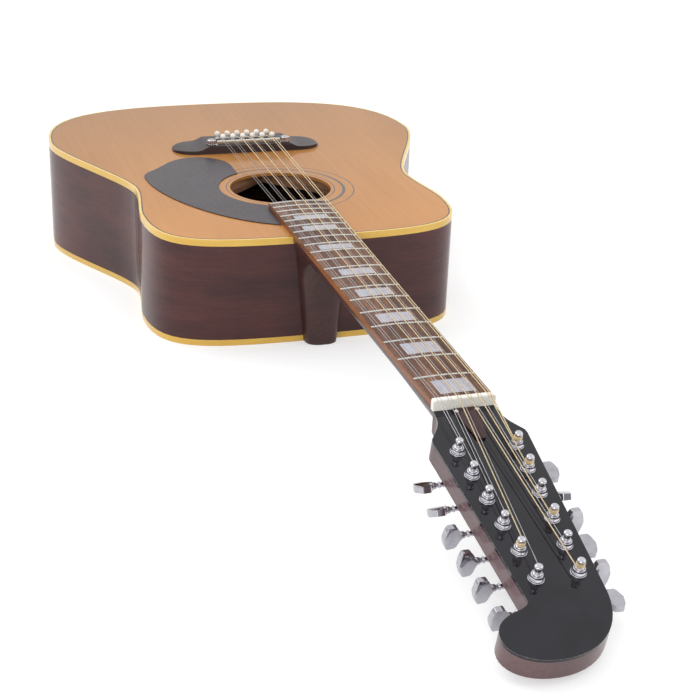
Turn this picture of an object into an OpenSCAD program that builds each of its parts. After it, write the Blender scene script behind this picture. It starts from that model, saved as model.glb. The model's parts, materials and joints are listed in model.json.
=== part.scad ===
// Twelve-string flat-top guitar, lying on its back.
// Every piece is drawn in the guitar's own frame: origin on the centreline where the
// fingerboard meets the nut, +X to the bass side, +Y to the tail, +Z out of the soundboard,
// whose outer face is z = 0. stand() then lays the flat back on the ground plane, with the
// origin below the middle of the bounding box.

/* [Scale and fingerboard] */
// Nut to saddle, before compensation
scale_len = 635; // [600:1:660]
// Number of frets on the board
fret_count = 20; // [18:1:22]
// Fret that lies over the edge of the body
body_fret = 14; // [12:1:15]
// Board past the last fret
board_end = 3.5; // [2:0.5:8]
// Width of the board at the nut
nut_w = 46.7; // [42:0.1:52]
// Width of the board at the body joint
joint_w = 55; // [50:0.1:62]
// Thickness of the board on its centreline
board_t = 5.7; // [5:0.1:7.5]
// Radius of the board's crowned playing face
crown_r = 305; // [250:5:500]
// Angle of the neck against the soundboard
neck_angle = 0.75; // [0:0.05:2]
// Width of the fret crown
fret_w = 2; // [1.8:0.1:3]
// Height of the fret crown
fret_h = 1; // [0.8:0.1:1.3]
// Depth of the fret tang in its slot
tang_d = 1.8; // [1:0.1:2.5]
// Width of the block inlays as a part of the board
inlay_share = 0.58; // [0.4:0.01:0.75]
// Board left bare between an inlay and the frets beside it
inlay_gap = 7; // [2:0.1:9]
// Thickness of the block inlays on the centreline
inlay_t = 1.6; // [1:0.1:2]

/* [Nut and strings] */
// Thickness of the nut
nut_t = 5; // [4:0.1:7]
// Height of the strings' undersides above the board at the nut
nut_clear = 1.3; // [1.2:0.1:2]
// Depth of the string slots in the nut
slot_depth = 0.7; // [0.4:0.1:1]
// Distance between courses at the nut
nut_course = 7.6; // [7:0.1:8.2]
// Distance between courses at the bridge
bridge_course = 11; // [10:0.1:12]
// Distance between the two strings of a pair at the nut
nut_pair = 2.2; // [1.8:0.1:2.6]
// Distance between the two strings of a pair at the saddle
saddle_pair = 3; // [2.2:0.1:3.6]
// Diameter of a plain string
plain_d = 0.5; // [0.3:0.05:0.6]
// Diameter of a wound string
wound_d = 1; // [0.7:0.05:1.4]
// Turns of string on a post
wraps = 2.5; // [1.5:0.25:3]

/* [Body] */
// Length of the body
body_len = 497; // [480:1:520]
// Half width of the lower bout
low_half = 206.5; // [190:0.5:220]
// Lower bout station, from the neck end
low_at = 356; // [330:1:380]
// Half width of the waist
waist_half = 143; // [130:0.5:150]
// Waist station, from the neck end
waist_at = 171.5; // [160:0.5:190]
// Half width of the upper bout
up_half = 151.5; // [142:0.5:165]
// Upper bout station, from the neck end
up_at = 91; // [80:0.5:100]
// Depth of the body at the neck, over all
depth_neck = 104; // [95:1:115]
// Depth of the body at the tail, over all
depth_tail = 126; // [118:1:135]
// Thickness of the soundboard
top_t = 3; // [2.5:0.1:4]
// Thickness of the back
back_t = 3; // [2.5:0.1:4]
// Thickness of the sides
side_t = 2.4; // [2:0.1:3]
// Height of the bindings
bind_h = 6.2; // [4:0.1:8]
// Width of the dark purfling line
purf_w = 1.3; // [0.8:0.1:2]
// Depth of inlaid lines and rings in the soundboard
inlaid_d = 1.2; // [0.8:0.1:1.5]
// Width of the linings
lining_w = 6; // [5:0.5:8]
// Height of the linings
lining_h = 14; // [10:1:18]
// Height of the main braces
brace_h = 15; // [10:1:18]
// Width of the main braces
brace_w = 8; // [6:0.5:10]

/* [Soundhole and pickguard] */
// Radius of the soundhole
hole_r = 50.8; // [45:0.1:55]
// Soundhole centre, from the neck end of the body
hole_at = 149.8; // [145:0.1:158]
// Inner radius of the thin ring beside the hole
thin_ring_r = 54; // [53:0.1:56]
// Inner radius of the wide ring
wide_ring_r = 62.5; // [61:0.1:65]
// Width of the wide ring
wide_ring_w = 3; // [2:0.1:7]
// Inner radius of the outer ring
outer_ring_r = 73.6; // [72:0.1:78]
// Width of the two thin rings
thin_ring_w = 1.1; // [0.8:0.1:2]
// Thickness of the pickguard
guard_t = 1; // [0.6:0.1:1.6]
// Radius of the pickguard's edge round the soundhole
guard_hole_r = 62; // [58:0.1:66]

/* [Bridge] */
// Depth of the bridge from front to rear
bridge_d = 42; // [38:0.5:48]
// Half length of the bridge
bridge_half = 81.5; // [76:0.5:88]
// Half length of the raised middle
bridge_mid = 50; // [48:0.5:56]
// Height of the raised middle
bridge_h = 8.5; // [7:0.1:10]
// Height of the wings at their root
wing_h = 4; // [3:0.1:5.5]
// Bridge front to the saddle's axis
saddle_in = 7.5; // [6:0.5:10]
// Saddle behind the end of the scale length
compensation = 4; // [1:0.5:6]
// Thickness of the saddle
saddle_t = 3; // [2.4:0.1:4]
// Half length of the saddle bar
saddle_half = 35; // [33:0.5:38]
// Height of the saddle's top above the soundboard
saddle_top = 12.8; // [11.5:0.1:14]
// Height of the saddle bar
saddle_h = 7; // [5.5:0.1:9]
// Adjuster screws, from the centreline
adjust_x = 41; // [40:0.5:44]
// Radius of the adjuster screw heads
adjust_r = 4.9; // [4:0.1:5.5]
// Thickness of the adjuster screw heads
adjust_head = 5; // [2:0.1:6]
// Radius of the adjuster screw shanks
adjust_shank = 1.8; // [1.4:0.1:2.4]
// Travel of the saddle below its top setting
saddle_travel = 1.5; // [1:0.1:2]
// Front row of bridge pins, from the bridge's front
pin_front = 20; // [18:0.5:24]
// Distance between the two rows of pins
pin_row = 12.5; // [10:0.5:15]
// Sideways offset between the two rows of pins
pin_shift = 3.6; // [3:0.1:5.5]
// Radius of the pin shanks
pin_r = 2.5; // [2.2:0.1:3]
// Radius of the pins' round heads
pin_ball = 3.2; // [2.6:0.1:3.6]
// Height of the pins' head centres above the bridge
pin_up = 4.7; // [3:0.1:7]

/* [Neck and headstock] */
// Thickness of the neck wood at the nut
neck_thick_nut = 16; // [14:0.1:20]
// Thickness of the neck wood at the heel
neck_thick_heel = 18; // [16:0.1:24]
// Reach of the curve that runs from the heel into the neck
heel_sweep = 24; // [16:1:36]
// Width of the heel at its foot
heel_w = 31; // [24:0.5:40]
// Heel in front of the body at its foot
heel_out = 15; // [10:0.5:24]
// Angle of the headstock against the neck
head_angle = 12.25; // [8:0.25:17]
// Length of the headstock from the nut
head_len = 234.5; // [225:0.5:245]
// Half width of the headstock at its shoulders
head_shoulder = 34.2; // [32:0.1:37]
// Half width of the headstock by the last posts
head_tip = 26; // [25:0.1:29]
// Reach of the scroll's hook past the centreline
hook_out = 53.8; // [48:0.1:58]
// Thickness of the headstock with its veneer
head_t = 16; // [14:0.1:18]
// Thickness of the headstock veneer
veneer_t = 2; // [1:0.1:3]
// Length of the truss rod cover
cover_len = 34; // [30:0.5:40]
// Thickness of the truss rod cover
cover_t = 1.6; // [1:0.1:2.5]
// Radius of the truss rod
rod_r = 2.5; // [2:0.1:3]

/* [Tuners] */
// First post, along the headstock from the nut
post_at = 49.9; // [47:0.1:55]
// Distance between posts
post_pitch = 24.28; // [23:0.01:26]
// First post, from the centreline
post_x1 = 21.5; // [19:0.1:24]
// Sixth post, from the centreline
post_x6 = 14.2; // [12:0.1:17]
// Radius of the posts
post_r = 3; // [2.5:0.05:3.4]
// Radius of the posts' waists
waist_r = 2.2; // [1.8:0.05:2.4]
// Height of the posts above the headstock
post_h = 12.2; // [11:0.1:15]
// Radial clearance of the turning posts and shafts
fit = 0.06; // [0.02:0.01:0.1]
// Radius of the ferrules' flanges
ferrule_r = 5.3; // [5:0.1:6]
// Height of the ferrules above the headstock
ferrule_h = 4.6; // [3.5:0.1:5.5]
// Radius of the ferrules' sleeves
sleeve_r = 4.3; // [3.8:0.1:4.6]
// Thickness of the tuner plates
plate_t = 1.2; // [0.8:0.1:2]
// Teeth on a tuner gear
gear_teeth = 14; // [12:1:18]
// Outer radius of a tuner gear
gear_r = 5; // [4.5:0.1:5.4]
// Thickness of a tuner gear
gear_t = 3.6; // [3:0.1:4.5]
// Outer radius of a worm
worm_r = 2.3; // [2:0.1:2.6]
// Radius of the worm shafts
shaft_r = 1.5; // [1.2:0.05:1.7]
// Post to the near end of the button
button_in = 19; // [17:0.5:22]
// Length of the buttons along the shaft
button_len = 12.4; // [10:0.1:14]
// Width of the buttons
button_w = 17.4; // [14:0.1:19]
// Thickness of the buttons
button_t = 6.2; // [5:0.1:8]

/* [Hidden] */
$fn = 48;
crown_fn = 900;
clear = 0.3;
snug = 0.05;

// Places along the guitar
function fret_y(n) = scale_len * (1 - pow(2, -n / 12));
body_y = fret_y(body_fret);
tail_y = body_y + body_len;
hole_y = body_y + hole_at;
board_y = fret_y(fret_count) + board_end;
saddle_y = scale_len + compensation;
bridge_y = saddle_y - saddle_in;
function board_w(y) = nut_w + (joint_w - nut_w) * y / body_y;

// The back slopes away from the soundboard towards the tail
back_slope = atan((depth_tail - depth_neck) / body_len);
function back_z(y) = -depth_neck - (y - body_y) * tan(back_slope);

// Height of a neck-frame point above the soundboard plane
neck_z0 = -body_y * sin(neck_angle);
neck_y0 = body_y * (1 - cos(neck_angle));

// End pin in the middle of the tail
pin_z = back_z(tail_y) / 2;
end_pin_r = 6.5;
end_pin_out = 12;
end_dome_r = 12;

// Middle of the bounding box and lift to the ground
head_pitch = head_angle + neck_angle + back_slope;
far_y = (tail_y + end_pin_out - end_dome_r) * cos(back_slope) - pin_z * sin(back_slope) + end_dome_r;
near_y = neck_y0 * cos(back_slope) - neck_z0 * sin(back_slope) - head_len * cos(head_pitch);
mid_y = (far_y + near_y) / 2;
lift = depth_neck * cos(back_slope) - body_y * sin(back_slope);

// ---------- frames ----------

// Lays the guitar on its flat back
module stand() {
    translate([0, -mid_y, lift]) rotate([back_slope, 0, 0]) children();
}

// Back frame: z = 0 is the outer face of the back, y = 0 its neck end
module back_frame() {
    translate([0, body_y, -depth_neck]) rotate([-back_slope, 0, 0]) children();
}

// Neck frame: z = 0 is the underside of the fingerboard, y = 0 the front of the nut
module neck_frame() {
    translate([0, body_y, 0]) rotate([neck_angle, 0, 0]) translate([0, -body_y, 0]) children();
}

// Headstock frame: z = 0 is the face of the veneer, -y runs to the tip
module head_frame() {
    neck_frame() rotate([head_angle, 0, 0]) children();
}

// Row frame of six tuners: origin on the first post, -y along the row, +x outwards
row_angle = atan((post_x1 - post_x6) / (5 * post_pitch));
row_step = 5 * post_pitch / cos(row_angle) / 5;
module row_frame(side) {
    head_frame() mirror([side < 0 ? 1 : 0, 0, 0])
        translate([post_x1, -post_at, 0]) rotate([0, 0, -row_angle]) children();
}

// Tuner frame: tuners 1 to 6 are on the treble side, 7 to 12 on the bass side
function tuner_side(i) = i <= 6 ? -1 : 1;
function tuner_slot(i) = (i - 1) % 6;
module tuner_frame(i) {
    row_frame(tuner_side(i)) translate([0, -tuner_slot(i) * row_step, 0]) children();
}

// ---------- body outline ----------

curve_steps = 14;
function bezier(a, b, c, d, t) =
    a * pow(1 - t, 3) + 3 * b * t * pow(1 - t, 2) + 3 * c * t * t * (1 - t) + d * pow(t, 3);
function bezier_run(a, b, c, d, steps) = [for (k = [0:steps - 1]) bezier(a, b, c, d, k / steps)];

// How far each bout's curve runs straight before it turns, as a part of its span
tail_full = 0.5;
low_full = 0.92;
low_lean = 0.27;
waist_low = 0.22;
waist_up = 0.36;
up_lean = 0.26;
up_full = 0.92;
neck_full = 0.76;

// Bass half of the outline, from the tail to the neck end
function half_outline() = let(
        tail = [0, body_len], low = [low_half, low_at], waist = [waist_half, waist_at],
        up = [up_half, up_at], neck = [0, 0])
    concat(
        bezier_run(tail, [tail_full * low_half, body_len],
            [low_half, low_at + low_full * (body_len - low_at)], low, curve_steps),
        bezier_run(low, [low_half, low_at - low_lean * (low_at - waist_at)],
            [waist_half, waist_at + waist_low * (low_at - waist_at)], waist, curve_steps),
        bezier_run(waist, [waist_half, waist_at - waist_up * (waist_at - up_at)],
            [up_half, up_at + up_lean * (waist_at - up_at)], up, curve_steps),
        bezier_run(up, [up_half, up_at * (1 - up_full)], [neck_full * up_half, 0], neck,
            curve_steps),
        [neck]);

// Moves each point of an open run inwards by d, square to its neighbours
function inset_run(run, d) = [for (k = [0:len(run) - 1])
    let(last = len(run) - 1,
        before = k == 0 ? [-run[1][0], run[1][1]] : run[k - 1],
        after = k == last ? [-run[last - 1][0], run[last - 1][1]] : run[k + 1],
        along = (after - before) / norm(after - before))
    run[k] + d * [along[1], -along[0]]];

function mirrored(run) = concat(run, [for (k = [len(run) - 2:-1:1]) [-run[k][0], run[k][1]]]);

module outline(inset) {
    translate([0, body_y]) polygon(mirrored(inset_run(half_outline(), inset)));
}

// Ring between two insets, over a range of heights
module band(inset0, inset1, z0, z1) {
    translate([0, 0, z0]) linear_extrude(z1 - z0) difference() {
        outline(inset0);
        outline(inset1);
    }
}

// Slab parallel to the back, between two heights above its outer face
module back_slab(h0, h1) {
    back_frame() translate([-300, -60, h0]) cube([600, body_len + 120, h1 - h0]);
}

deep = depth_tail + 20;

// ---------- soundbox ----------

module soundboard() {
    color("#c89b6a") difference() {
        union() {
            translate([0, 0, -top_t]) linear_extrude(top_t - inlaid_d) outline(side_t);
            translate([0, 0, -inlaid_d]) linear_extrude(inlaid_d) outline(side_t + purf_w);
        }
        translate([0, hole_y, -top_t - 1]) cylinder(r = hole_r, h = top_t + 2, $fn = 96);
        rosette_run(1);
        pin_places() translate([0, 0, -top_t - 1]) cylinder(r = pin_r, h = top_t + 2);
        adjuster_wells();
    }
}

module ring(r, w, z0, z1) {
    translate([0, hole_y, z0]) difference() {
        cylinder(r = r + w, h = z1 - z0, $fn = 96);
        translate([0, 0, -1]) cylinder(r = r, h = z1 - z0 + 2, $fn = 96);
    }
}

// Inlaid rings; over raises their upper face to cut their channels
module rosette_rings(over) {
    ring(thin_ring_r, thin_ring_w, -inlaid_d, over);
    ring(wide_ring_r, wide_ring_w, -inlaid_d, over);
    ring(outer_ring_r, thin_ring_w, -inlaid_d, over);
}

// The rings stop at the end of the fingerboard
module rosette_run(over) {
    difference() {
        rosette_rings(over);
        board_room();
    }
}

module rosette() {
    color("#4b3a30") rosette_run(0);
}

// Room of the fingerboard's end over the soundboard
module board_room() {
    translate([-board_w(board_y) / 2 - clear, body_y, -top_t])
        cube([board_w(board_y) + 2 * clear, board_y - body_y + clear, 30]);
}

module sides() {
    color("#4a2a26") difference() {
        intersection() {
            band(0, side_t, -deep, -bind_h);
            back_slab(bind_h, deep);
        }
        neck_tenon();
        end_pin_bore();
    }
}

module back() {
    color("#5a312a") intersection() {
        translate([0, 0, -deep]) linear_extrude(deep - depth_neck / 2) outline(side_t);
        back_slab(0, back_t);
    }
}

module top_binding() {
    color("#e8c766") band(0, side_t, -bind_h, 0);
}

module back_binding() {
    color("#e8c766") intersection() {
        band(0, side_t, -deep, -depth_neck / 2);
        back_slab(0, bind_h);
    }
}

module top_purfling() {
    color("#3a3430") band(side_t, side_t + purf_w, -inlaid_d, 0);
}

module linings() {
    inner = side_t + lining_w;
    color("#b9895a") {
        difference() {
            band(side_t, inner, -top_t - lining_h, -top_t);
            block_room();
        }
        difference() {
            intersection() {
                band(side_t, inner, -deep, -depth_neck / 2);
                back_slab(back_t, back_t + lining_h);
            }
            block_room();
        }
    }
}

// Blocks at both ends of the box, between the linings
neck_block_w = 88;
neck_block_d = 42;
tail_block_w = 82;
tail_block_d = 20;

module block(w, y0, y1) {
    intersection() {
        translate([-w / 2, y0, -deep]) cube([w, y1 - y0, deep - top_t]);
        translate([0, 0, -deep]) linear_extrude(deep) outline(side_t);
        back_slab(back_t, deep);
    }
}

module block_room() {
    translate([-neck_block_w / 2, body_y - 1, -deep]) cube([neck_block_w, neck_block_d + 1, deep]);
    translate([-tail_block_w / 2, tail_y - tail_block_d, -deep])
        cube([tail_block_w, tail_block_d + 1, deep]);
}

module neck_block() {
    color("#7a4b38") difference() {
        block(neck_block_w, body_y, body_y + neck_block_d);
        neck_tenon();
    }
}

module tail_block() {
    color("#7a4b38") difference() {
        block(tail_block_w, tail_y - tail_block_d, tail_y);
        end_pin_bore();
    }
}

// A brace lies under z = 0, from one point to another, with a rounded foot and thin ends
module brace(from, to, w, h) {
    span = to - from;
    len = norm(span);
    end = min(2.7 * h, len / 3);
    thin = h / 5;
    translate([from[0], from[1], 0]) rotate([0, 0, atan2(span[1], span[0])]) intersection() {
        rotate([90, 0, 0]) linear_extrude(w, center = true)
            polygon([[0, 0], [0, -thin], [end, -h], [len - end, -h], [len, -thin], [len, 0]]);
        rotate([90, 0, 90]) linear_extrude(len)
            polygon([[-w / 2, 0], [-w / 2, -h * 0.55], [-w / 5, -h], [w / 5, -h],
                [w / 2, -h * 0.55], [w / 2, 0]]);
    }
}

// The legs of the X cross behind the soundhole and pass on both sides of it
x_cross = 1.58 * hole_r;
x_top = [2.68, -1.1] * hole_r;
x_slope = x_top[0] / (x_cross - x_top[1]);
x_tail = 4.92 * hole_r;

// Half width between the X legs, at a station behind the soundhole's centre
function x_room(at) = x_slope * (at - x_cross) - brace_w * 0.85;

module top_braces() {
    light_w = brace_w * 0.8;
    light_h = brace_h * 0.65;
    color("#d9b98a") translate([0, hole_y, -top_t]) {
        // X brace
        for (side = [-1, 1])
            brace([side * x_top[0], x_top[1]], [-side * x_slope * (x_tail - x_cross), x_tail],
                brace_w, brace_h);
        // Bar between the fingerboard and the soundhole
        brace([-2.28, -1.5] * hole_r, [2.28, -1.5] * hole_r, brace_w, brace_h);
        // Finger braces beside the X
        for (side = [-1, 1])
            brace([1.65 * side, 1.73] * hole_r, [2.8 * side, 2.05] * hole_r, light_w, light_h);
        // Tone bars behind the bridge
        brace([-1.14, 3.74] * hole_r, [1.38, 4.92] * hole_r, light_w, light_h);
        brace([-0.39, 5.43] * hole_r, [1.42, 6.14] * hole_r, light_w, light_h);
    }
}

module back_braces() {
    // Half length and station of each brace, as parts of the lower bout and of the body
    stations = [[0.62, 0.145], [0.58, 0.346], [0.775, 0.56], [0.88, 0.773]];
    color("#d9b98a") back_frame() translate([0, 0, back_t]) {
        for (s = stations) let(half = s[0] * low_half, at = s[1] * body_len)
            mirror([0, 0, 1]) brace([-half, at], [half, at], brace_w, brace_h);
        translate([-9, neck_block_d + 2, 0])
            cube([18, body_len - neck_block_d - tail_block_d - 8, 2]);
    }
}

module end_pin_bore() {
    translate([0, tail_y - tail_block_d - 1, pin_z]) rotate([-90, 0, 0])
        cylinder(r = 4, h = tail_block_d + 6);
}

module end_pin() {
    color("#e6ddc8") translate([0, tail_y, pin_z]) rotate([-90, 0, 0]) intersection() {
        rotate_extrude() polygon([[0, -tail_block_d], [4, -tail_block_d], [4, 0],
            [end_pin_r, 0], [end_pin_r, 1.4], [4.2, 3], [3.6, 6], [4.4, 9], [end_pin_r, 10],
            [end_pin_r, 20], [0, 20]]);
        translate([0, 0, end_pin_out - end_dome_r]) sphere(r = end_dome_r, $fn = 64);
    }
}

// ---------- soundboard fittings ----------

// Drop-shaped outline, in soundhole radii from the neck end of the body
module guard_outline() {
    g = curve_steps;
    polygon(hole_r * concat(
        bezier_run([-0.39, 0.61], [-1.67, 1.02], [-2.52, 2.81], [-2.52, 4.02], g),
        bezier_run([-2.52, 4.02], [-2.52, 4.25], [-2.44, 4.37], [-2.28, 4.51], 5),
        bezier_run([-2.28, 4.51], [-1.97, 4.8], [-1.81, 5.28], [-1.3, 5.28], g),
        bezier_run([-1.3, 5.28], [-0.91, 5.28], [-0.63, 4.94], [-0.63, 4.55], g),
        [[-0.63, 4.55], [-0.63, 2.95], [-0.39, 1.97]]));
}

module pickguard() {
    color("#26262a") difference() {
        linear_extrude(guard_t) translate([0, body_y]) guard_outline();
        translate([0, hole_y, -1]) cylinder(r = guard_hole_r, h = guard_t + 2, $fn = 96);
        board_room();
    }
}

// Bridge plan: straight sides that run into a rounded paddle at each end
paddle_len = 24;
module bridge_plan() {
    middle = bridge_d / 2;
    paddle = [for (k = [-12:12])
        [bridge_half - paddle_len * (1 - cos(7.5 * k)), middle + middle * sin(7.5 * k)]];
    polygon(concat(paddle, [for (k = [24:-1:0]) [-paddle[k][0], paddle[k][1]]]));
}

// Bridge seen from the neck: wings fall away from the middle
module bridge_front() {
    ramp = 10;
    half = concat(
        [[0, bridge_h]],
        bezier_run([bridge_mid - ramp + 4, bridge_h], [bridge_mid - 2, bridge_h],
            [bridge_mid - 1, wing_h], [bridge_mid + ramp, wing_h], 8),
        bezier_run([bridge_mid + ramp, wing_h], [bridge_mid + 22, wing_h],
            [bridge_half, wing_h * 0.8], [bridge_half, wing_h * 0.4], 6),
        [[bridge_half, 0]]);
    polygon(concat(half, [for (k = [len(half) - 1:-1:1]) [-half[k][0], half[k][1]]]));
}

// Adjuster screws turn in wells through the bridge and the soundboard
module adjuster_places() {
    for (side = [-1, 1]) translate([side * adjust_x, saddle_y, 0]) children();
}

module adjuster_wells() {
    adjuster_places() translate([0, 0, -top_t - 1])
        cylinder(r = adjust_shank + fit, h = top_t + 2);
}

// Places of the twelve pins, for the front and the rear row
function pin_x(k) = (floor(k / 2) - 2.5) * bridge_course + (k % 2 == 0 ? -1 : 1) * pin_shift / 2;
function pin_y(k) = bridge_y + pin_front + (k % 2 == 0 ? pin_row : 0);
module pin_places() {
    for (k = [0:11]) translate([pin_x(k), pin_y(k), 0]) children();
}

tab_t = 3;
tab_r = 3.4;
saddle_low = saddle_top - saddle_h;
slot_floor = saddle_low - saddle_travel - clear;

module bridge() {
    color("#2a2422") difference() {
        intersection() {
            translate([0, bridge_y, 0]) linear_extrude(bridge_h) bridge_plan();
            translate([0, bridge_y + bridge_d + 1, 0]) rotate([90, 0, 0])
                linear_extrude(bridge_d + 2) bridge_front();
        }
        // Slot of the saddle and its two ears
        translate([-adjust_x, saddle_y - saddle_t / 2 - clear, slot_floor])
            cube([2 * adjust_x, saddle_t + 2 * clear, bridge_h]);
        adjuster_places() translate([0, 0, slot_floor]) cylinder(r = adjust_r + clear, h = bridge_h);
        adjuster_places() translate([0, 0, -1]) cylinder(r = adjust_shank + fit, h = bridge_h + 2);
        pin_places() translate([0, 0, -1]) cylinder(r = pin_r, h = bridge_h + 2);
    }
}

pin_plate_t = 3;

// Plate under the bridge, between the legs of the X
module bridge_plate() {
    front = bridge_y - 4;
    rear = bridge_y + bridge_d + 6;
    front_half = x_room(front - hole_y);
    rear_half = x_room(rear - hole_y);
    color("#c9a679") difference() {
        translate([0, 0, -top_t - pin_plate_t]) linear_extrude(pin_plate_t)
            polygon([[-front_half, front], [front_half, front], [rear_half, rear], [-rear_half, rear]]);
        pin_places() translate([0, 0, -top_t - 4]) cylinder(r = pin_r, h = 5);
        adjuster_places() translate([0, 0, -top_t - 4]) cylinder(r = adjust_shank + fit, h = 5);
    }
}

pin_down = bridge_h + top_t + pin_plate_t;
pin_stem = 1.6;

module bridge_pins() {
    color("#efe8d8") pin_places() difference() {
        translate([0, 0, bridge_h]) union() {
            translate([0, 0, pin_up]) sphere(r = pin_ball);
            rotate_extrude() polygon([[0, -pin_down], [pin_r, -pin_down],
                [pin_r, 0.2], [pin_stem, 0.6], [pin_stem, pin_up], [0, pin_up]]);
        }
        // Flute that the string runs in
        translate([-0.8, -pin_r - 1, -20]) cube([1.6, 2.6, 20 + bridge_h + 1.2]);
    }
}

// Saddle bar with an ear at each end that the adjuster screws are threaded through
module saddle() {
    color("#d8d4c8") difference() {
        union() {
            translate([-saddle_half, saddle_y - saddle_t / 2, saddle_low])
                cube([2 * saddle_half, saddle_t, saddle_h - saddle_t / 2]);
            translate([-saddle_half, saddle_y, saddle_top - saddle_t / 2]) rotate([0, 90, 0])
                cylinder(r = saddle_t / 2, h = 2 * saddle_half);
            translate([-adjust_x, saddle_y - saddle_t / 2, saddle_low])
                cube([2 * adjust_x, saddle_t, tab_t]);
            adjuster_places() translate([0, 0, saddle_low]) cylinder(r = tab_r, h = tab_t);
        }
        adjuster_places() translate([0, 0, saddle_low - 1])
            cylinder(r = adjust_shank + fit, h = tab_t + 2);
    }
}

module saddle_screw(side) {
    head_z = saddle_low + tab_t + clear;
    color("#c9c9cc") translate([side * adjust_x, saddle_y, 0]) difference() {
        union() {
            translate([0, 0, -top_t]) cylinder(r = adjust_shank, h = head_z + top_t + 1);
            translate([0, 0, head_z]) cylinder(r = adjust_r, h = adjust_head);
        }
        translate([-adjust_r - 1, -0.6, head_z + adjust_head - 1])
            cube([2 * adjust_r + 2, 1.2, 2]);
    }
}

// ---------- neck ----------

tenon_w = 24;
tenon_d = 22;
tenon_foot = 84;
nut_seat = 1.5;

// Tenon of the neck in its block
module neck_tenon() {
    translate([-tenon_w / 2, body_y - 1, -tenon_foot]) cube([tenon_w, tenon_d + 1, tenon_foot - bind_h]);
}

// Half-round neck section of width w and depth t, hung under z = 0
function neck_ring(w, t, y, count) = [for (k = [0:count])
    let(a = 180 + 180 * k / count, q = 1.25)
    [w / 2 * sign(cos(a)) * pow(abs(cos(a)), 1 / q), y, t * -pow(abs(sin(a)), 1 / q)]];

// Solid skin over a list of rings with the same number of points
module loft(rings) {
    n = len(rings[0]);
    m = len(rings);
    points = [for (r = rings, p = r) p];
    walls = [for (j = [0:m - 2], k = [0:n - 1]) let(k2 = (k + 1) % n)
        each [[j * n + k, j * n + k2, (j + 1) * n + k2], [j * n + k, (j + 1) * n + k2, (j + 1) * n + k]]];
    foot = [for (k = [n - 1:-1:0]) k];
    head = [for (k = [0:n - 1]) (m - 1) * n + k];
    polyhedron(points, concat([foot], walls, [head]), convexity = 6);
}

ring_points = 20;

function neck_depth(y) = neck_thick_nut + (neck_thick_heel - neck_thick_nut) * y / body_y;

module neck_shaft() {
    ys = [for (k = [0:6]) -nut_t - 14 + (body_y + 14 + nut_t) * k / 6];
    loft([for (y = ys) neck_ring(board_w(max(y, 0)), neck_depth(y), y, ring_points)]);
}

// Heel section at height z: a rounded front that reaches out from the body
function heel_ring(w, out, z, count) = [for (k = [0:count])
    let(a = 180 * k / count, e = 1 / 1.35)
    [w / 2 * sign(cos(a)) * pow(abs(cos(a)), e), body_y - out * pow(sin(a), e), z]];

// The heel's front rises straight, then sweeps forward under the shaft
heel_top = -6;
heel_bend = -38;
heel_steps = 8;
heel_turn = 77;

module heel() {
    foot = back_z(body_y) + 1;
    reach = heel_sweep / (1 - cos(heel_turn));
    heights = concat([for (k = [0:3]) foot + (heel_bend - foot) * k / 4],
        [for (k = [0:heel_steps]) heel_bend + (heel_top - heel_bend) * sin(90 * k / heel_steps)]);
    loft([for (z = heights) let(t = (z - foot) / (heel_top - foot),
        bend = max(0, z - heel_bend) / (heel_top - heel_bend),
        w = heel_w + (joint_w - 6 - heel_w) * t,
        out = heel_out + 3 * t + reach * (1 - cos(heel_turn * bend)))
        heel_ring(w, out, z, ring_points)]);
}

// Headstock plan with its scroll; y runs to the nut
module head_plan() {
    neck_half = nut_w / 2;
    s1 = 8;
    s2 = 21;
    s3 = 34;
    side_end = 186;
    tip = head_len;
    rotate(180) mirror([1, 0]) polygon(concat(
        [[neck_half, 0]],
        bezier_run([neck_half, s1], [neck_half, s2], [head_shoulder - 7, s2 + 3], [head_shoulder, s3], 8),
        bezier_run([head_shoulder, s3], [head_shoulder + 1.2, s3 + 2], [head_shoulder + 0.6, s3 + 6],
            [head_shoulder, s3 + 14], 4),
        bezier_run([head_tip, side_end], [head_tip - 1, side_end + 26], [8, tip], [-22, tip], 14),
        bezier_run([-22, tip], [-42, tip], [-hook_out, tip - 10], [-hook_out, tip - 21], 10),
        bezier_run([-hook_out, tip - 21], [-hook_out, tip - 33], [-44, tip - 38], [-36, tip - 40.5], 8),
        bezier_run([-36, tip - 40.5], [-30, tip - 42], [-head_tip, side_end + 4], [-head_tip, side_end], 6),
        bezier_run([-head_shoulder, s3 + 14], [-head_shoulder - 0.6, s3 + 6],
            [-head_shoulder - 1.2, s3 + 2], [-head_shoulder, s3], 4),
        bezier_run([-head_shoulder, s3], [-head_shoulder + 7, s2 + 3], [-neck_half, s2], [-neck_half, s1], 8),
        [[-neck_half, s1], [-neck_half, 0]]));
}

module tuner_bores(r) {
    for (i = [1:12]) tuner_frame(i) translate([0, 0, -head_t - 1]) cylinder(r = r, h = head_t + 2);
}

channel_w = 6.4;
channel_d = 10.5;
pocket_w = 12;
pocket_len = 24;
pocket_d = 10;
rod_nut_r = 3.4;
rod_z = -7.7;

// Channel under the fingerboard, a bore under the nut, and a pocket under the cover
module rod_channel() {
    neck_frame() translate([-channel_w / 2, 2, -channel_d]) cube([channel_w, body_y - 8, channel_d + 1]);
    neck_frame() translate([0, -nut_t - 8, rod_z]) rotate([-90, 0, 0])
        cylinder(r = rod_r + 0.3, h = nut_t + 12);
    head_frame() translate([-pocket_w / 2, -nut_t - 3 - pocket_len, -pocket_d])
        cube([pocket_w, pocket_len, pocket_d + 1]);
}

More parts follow.
